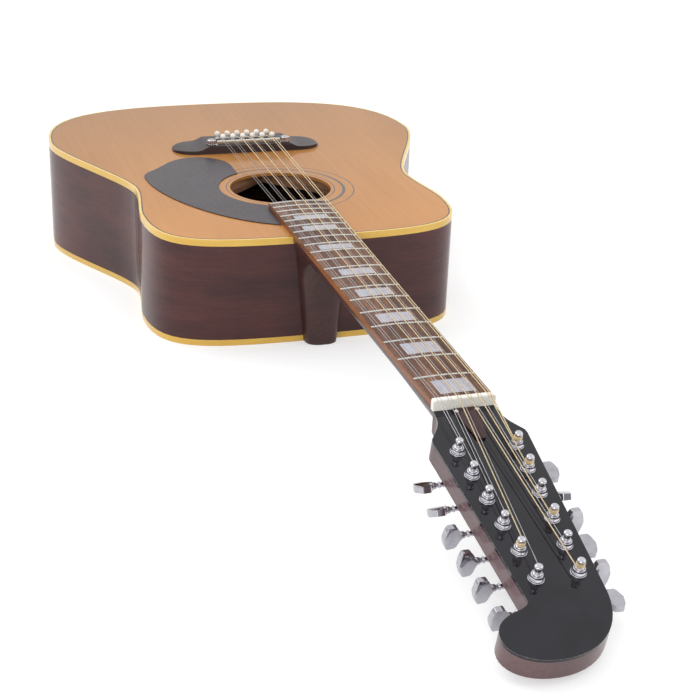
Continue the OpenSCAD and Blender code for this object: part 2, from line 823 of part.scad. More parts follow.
module neck() {
    color("#5b2f28") difference() {
        union() {
            difference() {
                union() {
                    neck_frame() neck_shaft();
                    heel();
                }
                translate([0, 0, -deep]) linear_extrude(2 * deep) outline(0);
            }
            head_side() head_frame() translate([0, 0, -head_t]) linear_extrude(head_t - veneer_t)
                head_plan();
            neck_tenon();
        }
        tuner_bores(sleeve_r);
        rod_channel();
        cover_screw_places() translate([0, 0, -8]) cylinder(r = 0.9, h = 12);
        for (side = [-1, 1]) row_frame(side) plate_screw_places()
            cylinder(r = plate_screw_r, h = plate_screw_in);
        neck_frame() translate([-60, -nut_t, -nut_seat]) cube([120, nut_t, 20]);
        head_side() head_frame() translate([-60, -80, -veneer_t]) cube([120, 100, 40]);
    }
}

// What lies beyond the nut
module head_side() {
    intersection() {
        neck_frame() translate([-100, -300 - nut_t, -150]) cube([200, 300, 200]);
        children();
    }
}

module headstock_veneer() {
    color("#1e1e22") difference() {
        head_side() head_frame() translate([0, 0, -veneer_t]) linear_extrude(veneer_t) head_plan();
        tuner_bores(sleeve_r);
        rod_channel();
        cover_screw_places() translate([0, 0, -8]) cylinder(r = 0.9, h = 12);
    }
}

// ---------- fingerboard ----------

module board_plan(y0, y1, share) {
    polygon([[-share * board_w(y0) / 2, y0], [share * board_w(y0) / 2, y0],
        [share * board_w(y1) / 2, y1], [-share * board_w(y1) / 2, y1]]);
}

// Everything under the crowned face
module under_crown() {
    translate([0, -20, board_t - crown_r]) rotate([-90, 0, 0])
        cylinder(r = crown_r, h = board_y + 60, $fn = crown_fn);
}

// Sweeps a profile over the crown, from edge to edge of the board
module crown_strip(y, half_w) {
    half_angle = asin(half_w / crown_r);
    translate([0, y, board_t - crown_r]) rotate([90, 0, 0]) rotate([0, 0, 90 - half_angle])
        rotate_extrude(angle = 2 * half_angle, $fn = 360) children();
}

module fret_profile() {
    translate([crown_r, 0]) union() {
        intersection() {
            translate([0, -fret_w / 2]) square([fret_h, fret_w]);
            translate([fret_h - fret_w * 0.62, 0]) circle(r = fret_w * 0.62, $fn = 24);
        }
        translate([-tang_d, -0.3]) square([tang_d + 0.1, 0.6]);
    }
}

module tang_profile() {
    translate([crown_r - tang_d, -0.3]) square([tang_d + 2, 0.6]);
}

inlay_frets = [for (n = [1, 3, 5, 7, 9, 12, 15, 17, 19]) if (n < min(fret_count, 18)) n];

module inlay_blocks(over) {
    neck_frame() for (n = inlay_frets)
        translate([0, 0, board_t - inlay_t]) linear_extrude(inlay_t + over)
            board_plan(fret_y(n - 1) + inlay_gap * fret_gap(n), fret_y(n) - inlay_gap * fret_gap(n),
                inlay_share);
}

// Inlay margins shrink with the spaces between the frets
function fret_gap(n) = (fret_y(n) - fret_y(n - 1)) / fret_y(1);

module fretboard() {
    color("#5a3b2c") difference() {
        neck_frame() intersection() {
            translate([0, 0, -3]) linear_extrude(board_t + 4) board_plan(0, board_y, 1);
            under_crown();
        }
        neck_frame() translate([-60, -10, -10]) cube([120, body_y + 10, 10]);
        translate([-60, body_y - 1, -10]) cube([120, 200, 10]);
        neck_frame() for (n = [1:fret_count]) crown_strip(fret_y(n), board_w(fret_y(n)) / 2 + 1)
            tang_profile();
        inlay_blocks(2);
    }
}

module frets() {
    color("#c9c9c4") neck_frame() for (n = [1:fret_count])
        crown_strip(fret_y(n), board_w(fret_y(n)) / 2) fret_profile();
}

module inlays() {
    half = joint_w / 2;
    arc = [for (k = [-12:12]) let(x = half * k / 12) [x, crown_z(x)]];
    color("#b9bccb") intersection() {
        inlay_blocks(0);
        neck_frame() translate([0, board_y, 0]) rotate([90, 0, 0]) linear_extrude(board_y)
            polygon(concat([[half, 0], [-half, 0]], arc));
    }
}

// ---------- strings ----------

// String k counts from the treble edge: 0 and 1 are the first course, 11 the outer bass string
is_wound = [false, false, false, false, true, false, true, false, true, false, true, true];
// String k runs to this tuner
string_tuner = [1, 2, 3, 4, 5, 6, 12, 11, 10, 9, 8, 7];
function string_r(k) = (is_wound[k] ? wound_d : plain_d) / 2;
function course(k) = floor(k / 2) - 2.5;
function pair_side(k) = k % 2 == 0 ? -1 : 1;
function nut_x(k) = course(k) * nut_course + pair_side(k) * nut_pair / 2;
function saddle_x(k) = course(k) * bridge_course + pair_side(k) * saddle_pair / 2;
function crown_z(x) = board_t - crown_r + sqrt(crown_r * crown_r - x * x);
nut_top = board_t + nut_clear + slot_depth;

// Turns about the X axis, and a neck-frame or headstock point in the guitar's frame
function turn_x(p, a) = [p[0], p[1] * cos(a) - p[2] * sin(a), p[1] * sin(a) + p[2] * cos(a)];
function from_neck(p) = turn_x(p - [0, body_y, 0], neck_angle) + [0, body_y, 0];
function from_head(p) = from_neck(turn_x(p, head_angle));

// Height of a string's axis over the nut's floor, where all strings lie on the crown
function nut_point(k, y) = from_neck([nut_x(k), y,
    crown_z(nut_x(k)) + nut_clear + string_r(k)]);
function saddle_point(k) = [saddle_x(k), saddle_y, saddle_top + string_r(k) + snug];
function pin_mouth(k) = [pin_x(k), pin_y(k) - pin_r + 0.7, bridge_h + 0.6];
ball_r = 1.5;
function pin_foot(k) = [pin_x(k), pin_mouth(k)[1], -top_t - pin_plate_t - 0.2];

// A string winds up its post's waist from below, with its inside clear of the post
wind_low = 6;
wind_steps = 12;
wind_pitch = 1.06;
function wind_r(k) = (waist_r + snug + string_r(k)) / cos(180 / wind_steps);
function wind_z(k, turns) = wind_low + string_r(k) + 2 * string_r(k) * wind_pitch * turns;

// Centre of string k's post in the headstock frame
function post_place(i) = [tuner_side(i) * (post_x1 - (post_x1 - post_x6) * tuner_slot(i) / 5),
    -post_at - tuner_slot(i) * post_pitch, 0];
// Angle at which a string from the nut first touches its post, on the side of the centreline
function touch_angle(k) = let(p = post_place(string_tuner[k]), side = tuner_side(string_tuner[k]),
        dx = p[0] - nut_x(k), dy = p[1] + nut_t, aim = atan2(dy, dx))
    aim - side * (asin(wind_r(k) / norm([dx, dy])) + 90);
function winding(k) = let(p = post_place(string_tuner[k]), side = tuner_side(string_tuner[k]))
    [for (j = [0:wraps * wind_steps]) let(turns = j / wind_steps,
        a = touch_angle(k) + side * (360 * turns), r = wind_r(k))
        from_head([p[0] + r * cos(a), p[1] + r * sin(a), wind_z(k, turns)])];

// Tube with a radius of its own at each point of its route, mitred where it turns
tube_sides = 6;
string_up = from_head([0, 0, 1]) - from_head([0, 0, 0]);
function unit(v) = v / norm(v);
function tube_ring(route, radii, j) = let(last = len(route) - 1,
        into = unit(route[max(j, 1)] - route[max(j, 1) - 1]),
        out = unit(route[min(j, last - 1) + 1] - route[min(j, last - 1)]),
        mid = unit(into + out),
        side = abs(mid[2]) > 0.5 ? unit(cross(mid, [1, 0, 0]))
            : unit(string_up - (string_up * mid) * mid),
        up = cross(side, mid))
    [for (k = [0:tube_sides - 1]) let(a = 360 * k / tube_sides)
        route[j] + radii[j] * (cos(a) * side + sin(a) * up)];

module tube(route, radii) {
    loft([for (j = [0:len(route) - 1]) tube_ring(route, radii, j)]);
}

// One string: its ball under the bridge plate, the pin, the saddle, the nut and its post
module string_run(k) {
    foot = pin_foot(k);
    down = [0, 0, -1];
    ball = [foot + 2 * ball_r * down, foot + 0.2 * ball_r * down];
    route = concat([foot, pin_mouth(k), saddle_point(k), nut_point(k, 0), nut_point(k, -nut_t)],
        winding(k));
    tube(concat(ball, route), concat([ball_r, ball_r], [for (p = route) string_r(k)]));
}

module plain_strings() {
    color("#cfcfd2") for (k = [0:11]) if (!is_wound[k]) string_run(k);
}

module wound_strings() {
    color("#c79a4c") for (k = [0:11]) if (is_wound[k]) string_run(k);
}

// Round-bottomed slot between two points, open upwards
module nut_slot(a, b, r) {
    v = b - a;
    translate(a) rotate([0, 0, atan2(v[1], v[0])]) rotate([0, -asin(v[2] / norm(v)), 0]) {
        rotate([0, 90, 0]) cylinder(r = r, h = norm(v), $fn = 24);
        translate([0, -r, 0]) cube([norm(v), 2 * r, 4]);
    }
}

// Nut across the board: crowned top with rounded shoulders
function nut_across() = let(w = nut_w / 2, r = 1.6, drop = crown_z(w - r) - board_t)
    concat([[-w, -nut_seat], [w, -nut_seat]],
        [for (k = [0:5]) [w - r + r * cos(18 * k), nut_top + drop - r + r * sin(18 * k)]],
        [for (k = [3:-1:-3]) let(x = (w - r) * k / 4) [x, nut_top + crown_z(x) - board_t]],
        [for (k = [5:-1:0]) [-w + r - r * cos(18 * k), nut_top + drop - r + r * sin(18 * k)]]);

module nut() {
    r = nut_t / 2;
    color("#efe9da") difference() {
        neck_frame() intersection() {
            rotate([90, 0, 0]) linear_extrude(nut_t) polygon(nut_across());
            translate([-nut_w, -r, 0]) rotate([90, 0, 90]) linear_extrude(2 * nut_w)
                polygon(concat([[-r, -2], [r, -2]],
                    [for (k = [0:8]) let(a = 22.5 * k) [r * cos(a), nut_top - r * 0.6 + r * 0.6 * sin(a)]]));
        }
        for (k = [0:11]) nut_slot(nut_point(k, -nut_t - 1), nut_point(k, 1), string_r(k) + snug);
    }
}

// ---------- truss rod ----------

module truss_rod() {
    color("#8a8a8c") neck_frame() translate([0, 0, rod_z]) {
        translate([0, -nut_t - 5, 0]) rotate([-90, 0, 0]) cylinder(r = rod_r, h = body_y + nut_t - 10);
        translate([0, -nut_t - 11, 0]) rotate([-90, 0, 0]) cylinder(r = rod_nut_r, h = 7, $fn = 6);
    }
}

cover_w = 20;
cover_tip_w = 8;
cover_at = nut_t + 1.2;

module cover_plan() {
    w = cover_w / 2;
    v = cover_tip_w / 2;
    translate([0, -cover_at]) polygon(concat(
        [[-w, 0]],
        bezier_run([w, 0], [w - 1, -12], [v + 1.5, -20], [v, -cover_len + 2], 8),
        [[v, -cover_len + 2], [v - 1.5, -cover_len], [-v + 1.5, -cover_len], [-v, -cover_len + 2]],
        [for (k = [7:-1:1]) let(p = bezier([-w, 0], [-w + 1, -12], [-v - 1.5, -20],
            [-v, -cover_len + 2], k / 8)) p]));
}

module cover_screw_places() {
    head_frame() for (side = [-1, 1])
        translate([side * (cover_w / 2 - 2.3), -cover_at - 3, 0]) children();
}

module truss_rod_cover() {
    color("#4a1f24") difference() {
        head_frame() linear_extrude(cover_t) cover_plan();
        cover_screw_places() translate([0, 0, -1]) cylinder(r = 0.9, h = cover_t + 2);
    }
}

module cover_screws() {
    color("#b9b9bc") cover_screw_places() {
        translate([0, 0, cover_t]) intersection() {
            cylinder(r = 1.7, h = 1);
            translate([0, 0, -1.4]) sphere(r = 2.2);
        }
        translate([0, 0, -6]) cylinder(r = 0.9, h = cover_t + 6);
    }
}

// ---------- tuners ----------

worm_off = gear_r + worm_r + 0.25;
plate_z = -head_t - plate_t;
gear_z = plate_z - 0.9 - gear_t;
worm_z = gear_z + gear_t / 2;
lug_x = 5;
worm_half = 3.7;
lug_t = 1.6;
lug_r = 3;

module tuner_ferrules() {
    color("#d2d2d6") for (i = [1:12]) tuner_frame(i) rotate_extrude()
        polygon(concat(
            [[post_r + fit, -9], [sleeve_r, -9], [sleeve_r, 0], [ferrule_r, 0], [ferrule_r, 0.9]],
            bezier_run([ferrule_r, 0.9], [ferrule_r - 0.2, 2.2], [post_r + 1, 2],
                [post_r + 0.8, ferrule_h - 0.4], 6),
            [[post_r + 0.8, ferrule_h - 0.4], [post_r + 0.5, ferrule_h], [post_r + fit, ferrule_h]]));
}

plate_screw_r = 1.2;
plate_screw_in = 8;
plate_screw_head = 2;
plate_end = 3.5;
module plate_screw_places() {
    for (j = [0:6]) translate([-lug_x, -(j - 0.5) * row_step - 0.9, -head_t]) children();
}

module tuner_plates() {
    w = 18;
    color("#c4c4c8") for (side = [-1, 1]) row_frame(side) {
        difference() {
            union() {
                translate([-w / 2, -5.5 * row_step - plate_end, plate_z])
                    cube([w, 6 * row_step + 2 * plate_end, plate_t]);
                for (j = [0:5], e = [-1, 1])
                    translate([e * lug_x - lug_t / 2, -j * row_step - worm_off, 0]) {
                        translate([0, -lug_r, worm_z]) cube([lug_t, 2 * lug_r, plate_z - worm_z + 0.1]);
                        translate([0, 0, worm_z]) rotate([0, 90, 0]) cylinder(r = lug_r, h = lug_t);
                    }
            }
            for (j = [0:5]) {
                translate([0, -j * row_step, plate_z - 1]) cylinder(r = post_r + fit, h = plate_t + 2);
                translate([-lug_x - 5, -j * row_step - worm_off, worm_z]) rotate([0, 90, 0])
                    cylinder(r = shaft_r + fit, h = 2 * lug_x + 10);
            }
            plate_screw_places() translate([0, 0, -plate_t - 1])
                cylinder(r = plate_screw_r, h = plate_t + 2);
        }
    }
}

module tuner_screws() {
    color("#b9b9bc") for (side = [-1, 1]) row_frame(side) plate_screw_places() {
        translate([0, 0, -plate_t - 1])
            cylinder(r1 = plate_screw_head - 0.6, r2 = plate_screw_head, h = 1);
        translate([0, 0, -plate_t]) cylinder(r = plate_screw_r, h = plate_t + plate_screw_in);
    }
}

waist_top = 9.6;
function gear_outline() = [for (t = [0:gear_teeth - 1], q = [0:3])
    let(a = 360 * (t + [0, 0.32, 0.5, 0.82][q]) / gear_teeth, r = q < 2 ? gear_r : gear_r - 1.1)
    [r * cos(a), r * sin(a)]];

module tuner_post(i) {
    color("#d6d6da") tuner_frame(i) difference() {
        union() {
            rotate_extrude() polygon(concat(
                [[0, gear_z - 0.4], [post_r - 0.4, gear_z - 0.4], [post_r - 0.4, gear_z + gear_t],
                 [post_r, gear_z + gear_t], [post_r, wind_low - 0.6], [waist_r, wind_low],
                 [waist_r, waist_top], [post_r - 0.2, waist_top + 0.6]],
                bezier_run([post_r - 0.2, waist_top + 0.6], [post_r - 0.1, post_h - 0.5],
                    [1.6, post_h], [0, post_h], 6)));
            translate([0, 0, gear_z]) linear_extrude(gear_t) polygon(gear_outline());
            translate([0, 0, gear_z - 1.2]) cylinder(r = 2.6, h = 1.2);
        }
        translate([-0.5, -3, gear_z - 1.3]) cube([1, 6, 0.7]);
        translate([-5, 0, 8.8]) rotate([0, 90, 0]) cylinder(r = 0.5, h = 10, $fn = 16);
    }
}

// Half-moon button, seen flat: narrow at the shaft and round at the outer edge
module button_plan() {
    w = button_w / 2;
    l = button_len;
    run = concat(
        bezier_run([0, 2.2], [1.2, 2.4], [2.4, w - 1.2], [4.4, w - 0.4], 5),
        bezier_run([9.2, w], [9.8, w], [10.1, w - 0.3], [10.2, w - 0.7], 3),
        bezier_run([10.2, w - 0.7], [11.6, 6], [l, 3.2], [l, 0], 6));
    polygon(concat(run, [[l, 0]], [for (k = [len(run) - 1:-1:0]) [run[k][0], -run[k][1]]]));
}

button_turn = [-31, -38, 86, 76, 82, 90, 0, -36, 80, 2, 76, -8];

// Domes one face of a button's blade
dome_r = 40;
module button_dome(face) {
    translate([-1, 0, face * (button_t / 2 - dome_r)]) rotate([0, 90, 0])
        cylinder(r = dome_r, h = button_len + 2, $fn = 120);
}

module tuner_button(i) {
    color("#d6d6da") tuner_frame(i) translate([0, -worm_off, worm_z])
        rotate([button_turn[i - 1], 0, 0]) {
        // Flat blade with both faces slightly domed
        translate([button_in, 0, 0]) intersection() {
            translate([0, 0, -button_t / 2]) linear_extrude(button_t) button_plan();
            button_dome(1);
            button_dome(-1);
        }
        rotate([0, 90, 0]) rotate_extrude() polygon([[0, -lug_x - 2.4], [shaft_r, -lug_x - 2.4],
            [shaft_r, -worm_half], [worm_r, -worm_half], [worm_r, worm_half], [shaft_r, worm_half],
            [shaft_r, 9], [2, 9], [2, 11], [1.6, 11.5], [1.6, 12.6], [2.3, 13], [2.3, 14], [1.7, 14.4],
            [1.7, 15.4], [2.5, 16], [2.5, button_in - 1], [2.1, button_in + 1], [0, button_in + 1]]);
    }
}

stand() soundboard();
stand() sides();
stand() back();
stand() top_binding();
stand() back_binding();
stand() top_purfling();
stand() rosette();
stand() pickguard();
stand() linings();
stand() neck_block();
stand() tail_block();
stand() top_braces();
stand() back_braces();
stand() bridge_plate();
stand() bridge();
stand() bridge_pins();
stand() saddle();
stand() saddle_screw(-1);  // saddle_screw_treble
stand() saddle_screw(1);  // saddle_screw_bass
stand() neck();
stand() headstock_veneer();
stand() fretboard();
stand() frets();
stand() inlays();
stand() nut();
stand() truss_rod();
stand() truss_rod_cover();
stand() cover_screws();
stand() end_pin();
stand() plain_strings();
stand() wound_strings();
stand() tuner_plates();
stand() tuner_ferrules();
stand() tuner_screws();
for (i = [1:12]) {
    stand() tuner_post(i);
    stand() tuner_button(i);
}
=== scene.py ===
"""Twelve-string flat-top guitar: finishes, detailed pieces, stage and camera, laid out as an add-on."""
import json
import math

import bmesh
import bpy
from mathutils import Euler, Matrix, Vector


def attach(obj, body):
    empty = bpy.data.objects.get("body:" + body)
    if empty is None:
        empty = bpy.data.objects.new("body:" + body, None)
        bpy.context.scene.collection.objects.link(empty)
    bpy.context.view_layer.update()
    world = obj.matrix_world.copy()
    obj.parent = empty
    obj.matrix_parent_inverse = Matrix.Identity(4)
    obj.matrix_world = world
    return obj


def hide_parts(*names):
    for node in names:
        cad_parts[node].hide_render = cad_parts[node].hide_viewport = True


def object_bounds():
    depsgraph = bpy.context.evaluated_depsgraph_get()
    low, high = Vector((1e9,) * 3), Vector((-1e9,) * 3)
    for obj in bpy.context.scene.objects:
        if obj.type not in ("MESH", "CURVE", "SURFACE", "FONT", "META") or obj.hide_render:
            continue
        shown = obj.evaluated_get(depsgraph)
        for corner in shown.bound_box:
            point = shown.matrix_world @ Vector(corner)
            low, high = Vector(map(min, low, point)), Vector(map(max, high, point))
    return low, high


bl_info = {
    "name": "Twelve-string guitar",
    "version": (1, 0, 0),
    "blender": (4, 5, 0),
    "location": "3D View > Sidebar > Guitar",
    "description": "Builds the visual pieces and finishes of a twelve-string flat-top guitar",
    "category": "Object",
}

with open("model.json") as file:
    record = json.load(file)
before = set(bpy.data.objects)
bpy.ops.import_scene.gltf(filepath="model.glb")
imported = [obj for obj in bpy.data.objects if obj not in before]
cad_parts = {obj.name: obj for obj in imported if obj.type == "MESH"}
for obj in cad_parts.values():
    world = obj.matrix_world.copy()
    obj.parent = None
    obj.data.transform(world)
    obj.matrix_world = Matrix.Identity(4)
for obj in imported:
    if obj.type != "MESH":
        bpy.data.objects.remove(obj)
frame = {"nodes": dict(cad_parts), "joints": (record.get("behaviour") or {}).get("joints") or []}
cad_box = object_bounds()

MM = 0.001
JOINTS = {joint["name"]: joint for joint in frame["joints"]}

# Sizes in millimetres, in the guitar's own frame: origin at the nut, +Y to the tail
SCALE_LEN = 635
BODY_Y = SCALE_LEN * (1 - 2 ** (-14 / 12))
BODY_LEN = 497
SADDLE_Y = SCALE_LEN + 4
SADDLE_TOP = 12.8
BRIDGE_Y = SADDLE_Y - 7.5
BRIDGE_H = 8.5
BRIDGE_COURSE = 11
PIN_Y = BRIDGE_Y + 20
PIN_ROW = 12.5
PIN_PAIR = 1.8
ADJUST_X = 41
NECK_ANGLE = 0.75
HEAD_ANGLE = 12.25
NUT_W = 46.7
JOINT_W = 55
BOARD_T = 5.7
CROWN_R = 305
NUT_T = 5
NUT_COURSE = 7.6
NUT_CLEAR = 1.3
POST_SIDES = (21.5, 14.2)
POST_FIRST = 49.9
POST_PITCH = 24.28
BLADE_LEN = 12.4
TUNERS = range(1, 13)
FRETS = range(1, 21)
STRINGS = range(12)
WOUND = (4, 6, 8, 10, 11)
STRING_TUNER = (1, 2, 3, 4, 5, 6, 12, 11, 10, 9, 8, 7)
BUTTON_TURN = (-31, -38, 86, 76, 82, 90, 0, -36, 80, 2, 76, -8)


def turn_x(degrees):
    return Matrix.Rotation(math.radians(degrees), 4, "X")


def guitar_frame():
    """Matrix from the guitar's millimetres to the row frame, found from a saddle screw's joint."""
    screw = JOINTS["saddle_screw_treble_turn"]
    up = Vector(screw["axis"])
    lean = Matrix.Rotation(math.atan2(-up.y, up.z), 4, "X")
    foot = lean @ (Vector((-ADJUST_X, SADDLE_Y, 0)) * MM)
    return Matrix.Translation(Vector(screw["pos_m"]) - foot) @ lean @ Matrix.Scale(MM, 4)


GUITAR = guitar_frame()
NECK = (GUITAR @ Matrix.Translation((0, BODY_Y, 0)) @ turn_x(NECK_ANGLE)
        @ Matrix.Translation((0, -BODY_Y, 0)))
HEAD = NECK @ turn_x(HEAD_ANGLE)


def course(k):
    """Where string k's pair stands across the guitar, in courses from the middle."""
    return k // 2 - 2.5


def pair_side(k):
    """Which of its pair string k is: -1 to the treble, 1 to the bass."""
    return -1 if k % 2 == 0 else 1


def pin_place(k):
    """Middle of pin k on the bridge; the two rows stand one behind the other."""
    return course(k) * BRIDGE_COURSE + pair_side(k) * PIN_PAIR, PIN_Y + (PIN_ROW if k % 2 == 0 else 0)


def half_board(y):
    """Half the fingerboard's width at a distance from the nut."""
    return (NUT_W + (JOINT_W - NUT_W) * y / BODY_Y) / 2


def axes_matrix(origin, x, z):
    """Right-handed frame in millimetres at a row-frame point."""
    z = z.normalized()
    x = (x - z * x.dot(z)).normalized()
    y = z.cross(x)
    turn = Matrix((x, y, z)).transposed().to_4x4()
    return Matrix.Translation(origin) @ turn @ Matrix.Scale(MM, 4)


def post_frame(i):
    """A tuner's frame: z up its post from the headstock's face, x out to its button."""
    post = JOINTS[f"tuner_post_{i}_turn"]
    button = JOINTS[f"tuner_button_{i}_turn"]
    return axes_matrix(Vector(post["pos_m"]), Vector(button["axis"]), Vector(post["axis"]))


def button_frame(i):
    """A button's frame: x out along its shaft, turned as the button is left."""
    post = JOINTS[f"tuner_post_{i}_turn"]
    button = JOINTS[f"tuner_button_{i}_turn"]
    base = axes_matrix(Vector(button["pos_m"]), Vector(button["axis"]), Vector(post["axis"]))
    sense = 1 if button["axis"][0] > 0 else -1
    return base @ turn_x(sense * BUTTON_TURN[i - 1])


# ---------------------------------------------------------------- node graphs

class Field:
    """A node's output; arithmetic on it adds Math nodes."""

    def __init__(self, graph, socket):
        self.graph = graph
        self.socket = socket

    def math(self, operation, other):
        return self.graph.node("ShaderNodeMath", {"operation": operation}, {0: self, 1: other})

    def __add__(self, other):
        return self.math("ADD", other)

    def __mul__(self, other):
        return self.math("MULTIPLY", other)

    def __pow__(self, other):
        return self.math("POWER", other)

    __radd__ = __add__
    __rmul__ = __mul__


class Graph:
    """A node tree that is written as expressions."""

    def __init__(self, tree):
        self.tree = tree

    def node(self, kind, settings=None, sockets=None, out=0):
        made = self.tree.nodes.new(kind)
        for key, value in (settings or {}).items():
            if key == "stops":
                ramp = made.color_ramp
                while len(ramp.elements) < len(value):
                    ramp.elements.new(0.5)
                for stop, (place, colour) in zip(ramp.elements, value):
                    stop.position = place
                    stop.color = (*colour, 1)
            else:
                setattr(made, key, value)
        for key, value in (sockets or {}).items():
            if isinstance(value, Field):
                self.tree.links.new(value.socket, made.inputs[key])
            elif value is not None:
                made.inputs[key].default_value = value
        return Field(self, made.outputs[out])


class Finish(Graph):
    """A material on the Principled shader: constants on its sockets, variation by nodes."""

    def __init__(self, name, **constants):
        self.material = bpy.data.materials.new(name)
        self.material.use_nodes = True
        super().__init__(self.material.node_tree)
        self.tree.nodes.clear()
        self.shader = self.tree.nodes.new("ShaderNodeBsdfPrincipled")
        end = self.tree.nodes.new("ShaderNodeOutputMaterial")
        self.tree.links.new(self.shader.outputs[0], end.inputs[0])
        for key, value in constants.items():
            self.shader.inputs[key.replace("_", " ")].default_value = value

    def set(self, **fields):
        for key, field in fields.items():
            self.tree.links.new(field.socket, self.shader.inputs[key.replace("_", " ")])
        return self

    def place(self, scale=(1, 1, 1), turn=(0, 0, 0)):
        """Object coordinates in metres, stretched and turned."""
        spot = self.node("ShaderNodeTexCoord", out=3)
        return self.node("ShaderNodeMapping", None,
                         {"Vector": spot, "Scale": scale, "Rotation": turn})

    def along(self, name="run"):
        """A piece's own attribute, as a vector."""
        return self.node("ShaderNodeAttribute", {"attribute_name": name}, out=1)

    def noise(self, vector, scale=1.0, detail=2.0, roughness=0.5, distortion=0.0):
        return self.node("ShaderNodeTexNoise", None, {
            "Vector": vector, "Scale": scale, "Detail": detail, "Roughness": roughness,
            "Distortion": distortion})

    def ramp(self, value, *stops):
        return self.node("ShaderNodeValToRGB", {"stops": stops}, {0: value})

    def span(self, value, low, high, to_low=0.0, to_high=1.0):
        return self.node("ShaderNodeMapRange", None, {
            "Value": value, "From Min": low, "From Max": high, "To Min": to_low, "To Max": to_high})

    def mix(self, a, b, factor, blend="MIX"):
        colour = lambda v: v if isinstance(v, Field) else (*v, 1)
        return self.node("ShaderNodeMix", {"data_type": "RGBA", "blend_type": blend},
                         {0: factor, 6: colour(a), 7: colour(b)}, out=2)

    def bump(self, height, distance, strength=1.0):
        return self.node("ShaderNodeBump", None,
                         {"Height": height, "Distance": distance, "Strength": strength})


def lacquer_waves(finish, depth=0.00002):
    """The slight unevenness of a polished film."""
    return finish.bump(finish.noise(finish.place((28, 28, 28)), 1, 1), depth)


def spruce(look):
    f = Finish("spruce_lacquered", Roughness=0.5, Coat_Weight=0.4, Coat_Roughness=0.08,
               Specular_IOR_Level=0.12)
    drift = f.noise(f.place((9, 2.2, 9)), 1, 3, 0.55)
    streak = f.noise(f.place((210, 2.6, 210)), 1, 3, 0.6)
    year = f.node("ShaderNodeTexWave", {"wave_type": "BANDS", "bands_direction": "X"}, {
        "Vector": f.place((1, 0.012, 1)), "Scale": 170.0, "Distortion": 1.1, "Detail": 2.0,
        "Detail Scale": 0.6}, out=1)
    silk = f.noise(f.place((60, 420, 60)), 1, 2, 0.7)
    base = f.mix(look.top_light, look.top_dark, f.span(drift * 0.7 + streak * 0.3, 0.34, 0.66))
    grained = f.mix(base, look.top_dark, (year ** 3) * 0.24)
    silky = f.mix(grained, look.top_light, f.span(silk, 0.55, 0.78) * 0.22)
    # Painted light and shade: the top is lightened and warmed towards the neck end and darkened and cooled
    # towards the tail, by the object's Y
    tailward = f.node("ShaderNodeSeparateXYZ", None, {"Vector": f.place()}, out=1)
    painted_light_front = f.mix(silky, (1.24, 1.19, 1.07), f.span(tailward, 0.32, 0.05), "MULTIPLY")
    painted_shade_tail = f.mix(painted_light_front, (0.92, 0.94, 1.03), f.span(tailward, 0.32, 0.5), "MULTIPLY")
    return f.set(Base_Color=painted_shade_tail, Normal=lacquer_waves(f)).material


def bent_mahogany(look):
    f = Finish("mahogany_lacquered", Roughness=0.5, Coat_Weight=0.5, Coat_Roughness=0.05, Coat_IOR=1.42,
               Specular_IOR_Level=0.1)
    run = f.along()
    grain = lambda scale: f.node("ShaderNodeMapping", None, {"Vector": run, "Scale": scale})
    cloud = f.noise(grain((9, 22, 1)), 1, 4, 0.55)
    fine = f.noise(grain((16, 420, 1)), 1, 3, 0.65)
    pores = f.noise(grain((120, 2600, 1)), 1, 1, 0.5)
    colour = f.mix(look.side_dark, look.side_light, f.span(cloud * 0.78 + fine * 0.22, 0.36, 0.68))
    pored = f.mix(colour, look.side_pore, f.span(pores, 0.62, 0.74) * 0.6)
    return f.set(Base_Color=pored, Normal=lacquer_waves(f)).material


def long_mahogany(name, light, dark, pore, end=None, coat=0.55):
    """Mahogany whose grain runs along the guitar, with a lighter tone beyond the nut as painted light on
    the headstock.
    """
    f = Finish(name, Roughness=0.5, Coat_Weight=coat, Coat_Roughness=0.06, Specular_IOR_Level=0.1)
    cloud = f.noise(f.place((34, 3.2, 34)), 1, 3, 0.6)
    fine = f.noise(f.place((380, 9, 380)), 1, 3, 0.65)
    pores = f.noise(f.place((1900, 90, 1900)), 1, 1, 0.5)
    streaks = f.span(cloud * 0.5 + fine * 0.5, 0.34, 0.68)
    colour = f.mix(dark, light, streaks)
    # Painted light: beyond the nut the wood turns to the lighter end tone, for the light that falls on the
    # headstock's sides and tip
    if end:
        along = f.node("ShaderNodeSeparateXYZ", None, {0: f.place()}, out=1)
        nut = GUITAR.translation.y
        painted_lit_tone = f.mix(tuple(c * 0.72 for c in end), end, streaks)
        colour = f.mix(painted_lit_tone, colour, f.span(along, nut - 0.06, nut))
    pored = f.mix(colour, pore, f.span(pores, 0.62, 0.74) * 0.55)
    return f.set(Base_Color=pored, Normal=lacquer_waves(f)).material


def raw_wood():
    f = Finish("raw_wood", Roughness=0.75)
    cloud = f.noise(f.place((40, 6, 40)), 1, 3, 0.6)
    fine = f.noise(f.place((420, 18, 420)), 1, 3, 0.6)
    streaks = f.span(cloud * 0.5 + fine * 0.5, 0.35, 0.66)
    colour = f.mix((0.30, 0.135, 0.07), (0.46, 0.25, 0.13), streaks)
    return f.set(Base_Color=colour, Normal=f.bump(fine, 0.00012)).material


def rosewood(look):
    f = Finish("rosewood", Specular_IOR_Level=0.2)
    band = f.noise(f.place((150, 4.2, 150)), 1, 4, 0.62, 0.4)
    fine = f.noise(f.place((900, 14, 900)), 1, 3, 0.65)
    pores = f.noise(f.place((2600, 130, 2600)), 1, 1, 0.5)
    colour = f.ramp(band * 0.6 + fine * 0.4, (0.34, look.board_dark), (0.5, look.board_mid),
                    (0.64, look.board_light))
    pored = f.mix(colour, (0.008, 0.004, 0.003), f.span(pores, 0.6, 0.7) * 0.8)
    wear_and_painted_shade = f.span(fine, 0.3, 0.7, 0.3, 0.48)
    return f.set(Base_Color=pored, Roughness=wear_and_painted_shade, Normal=f.bump(pores, 0.00008, 0.7)).material


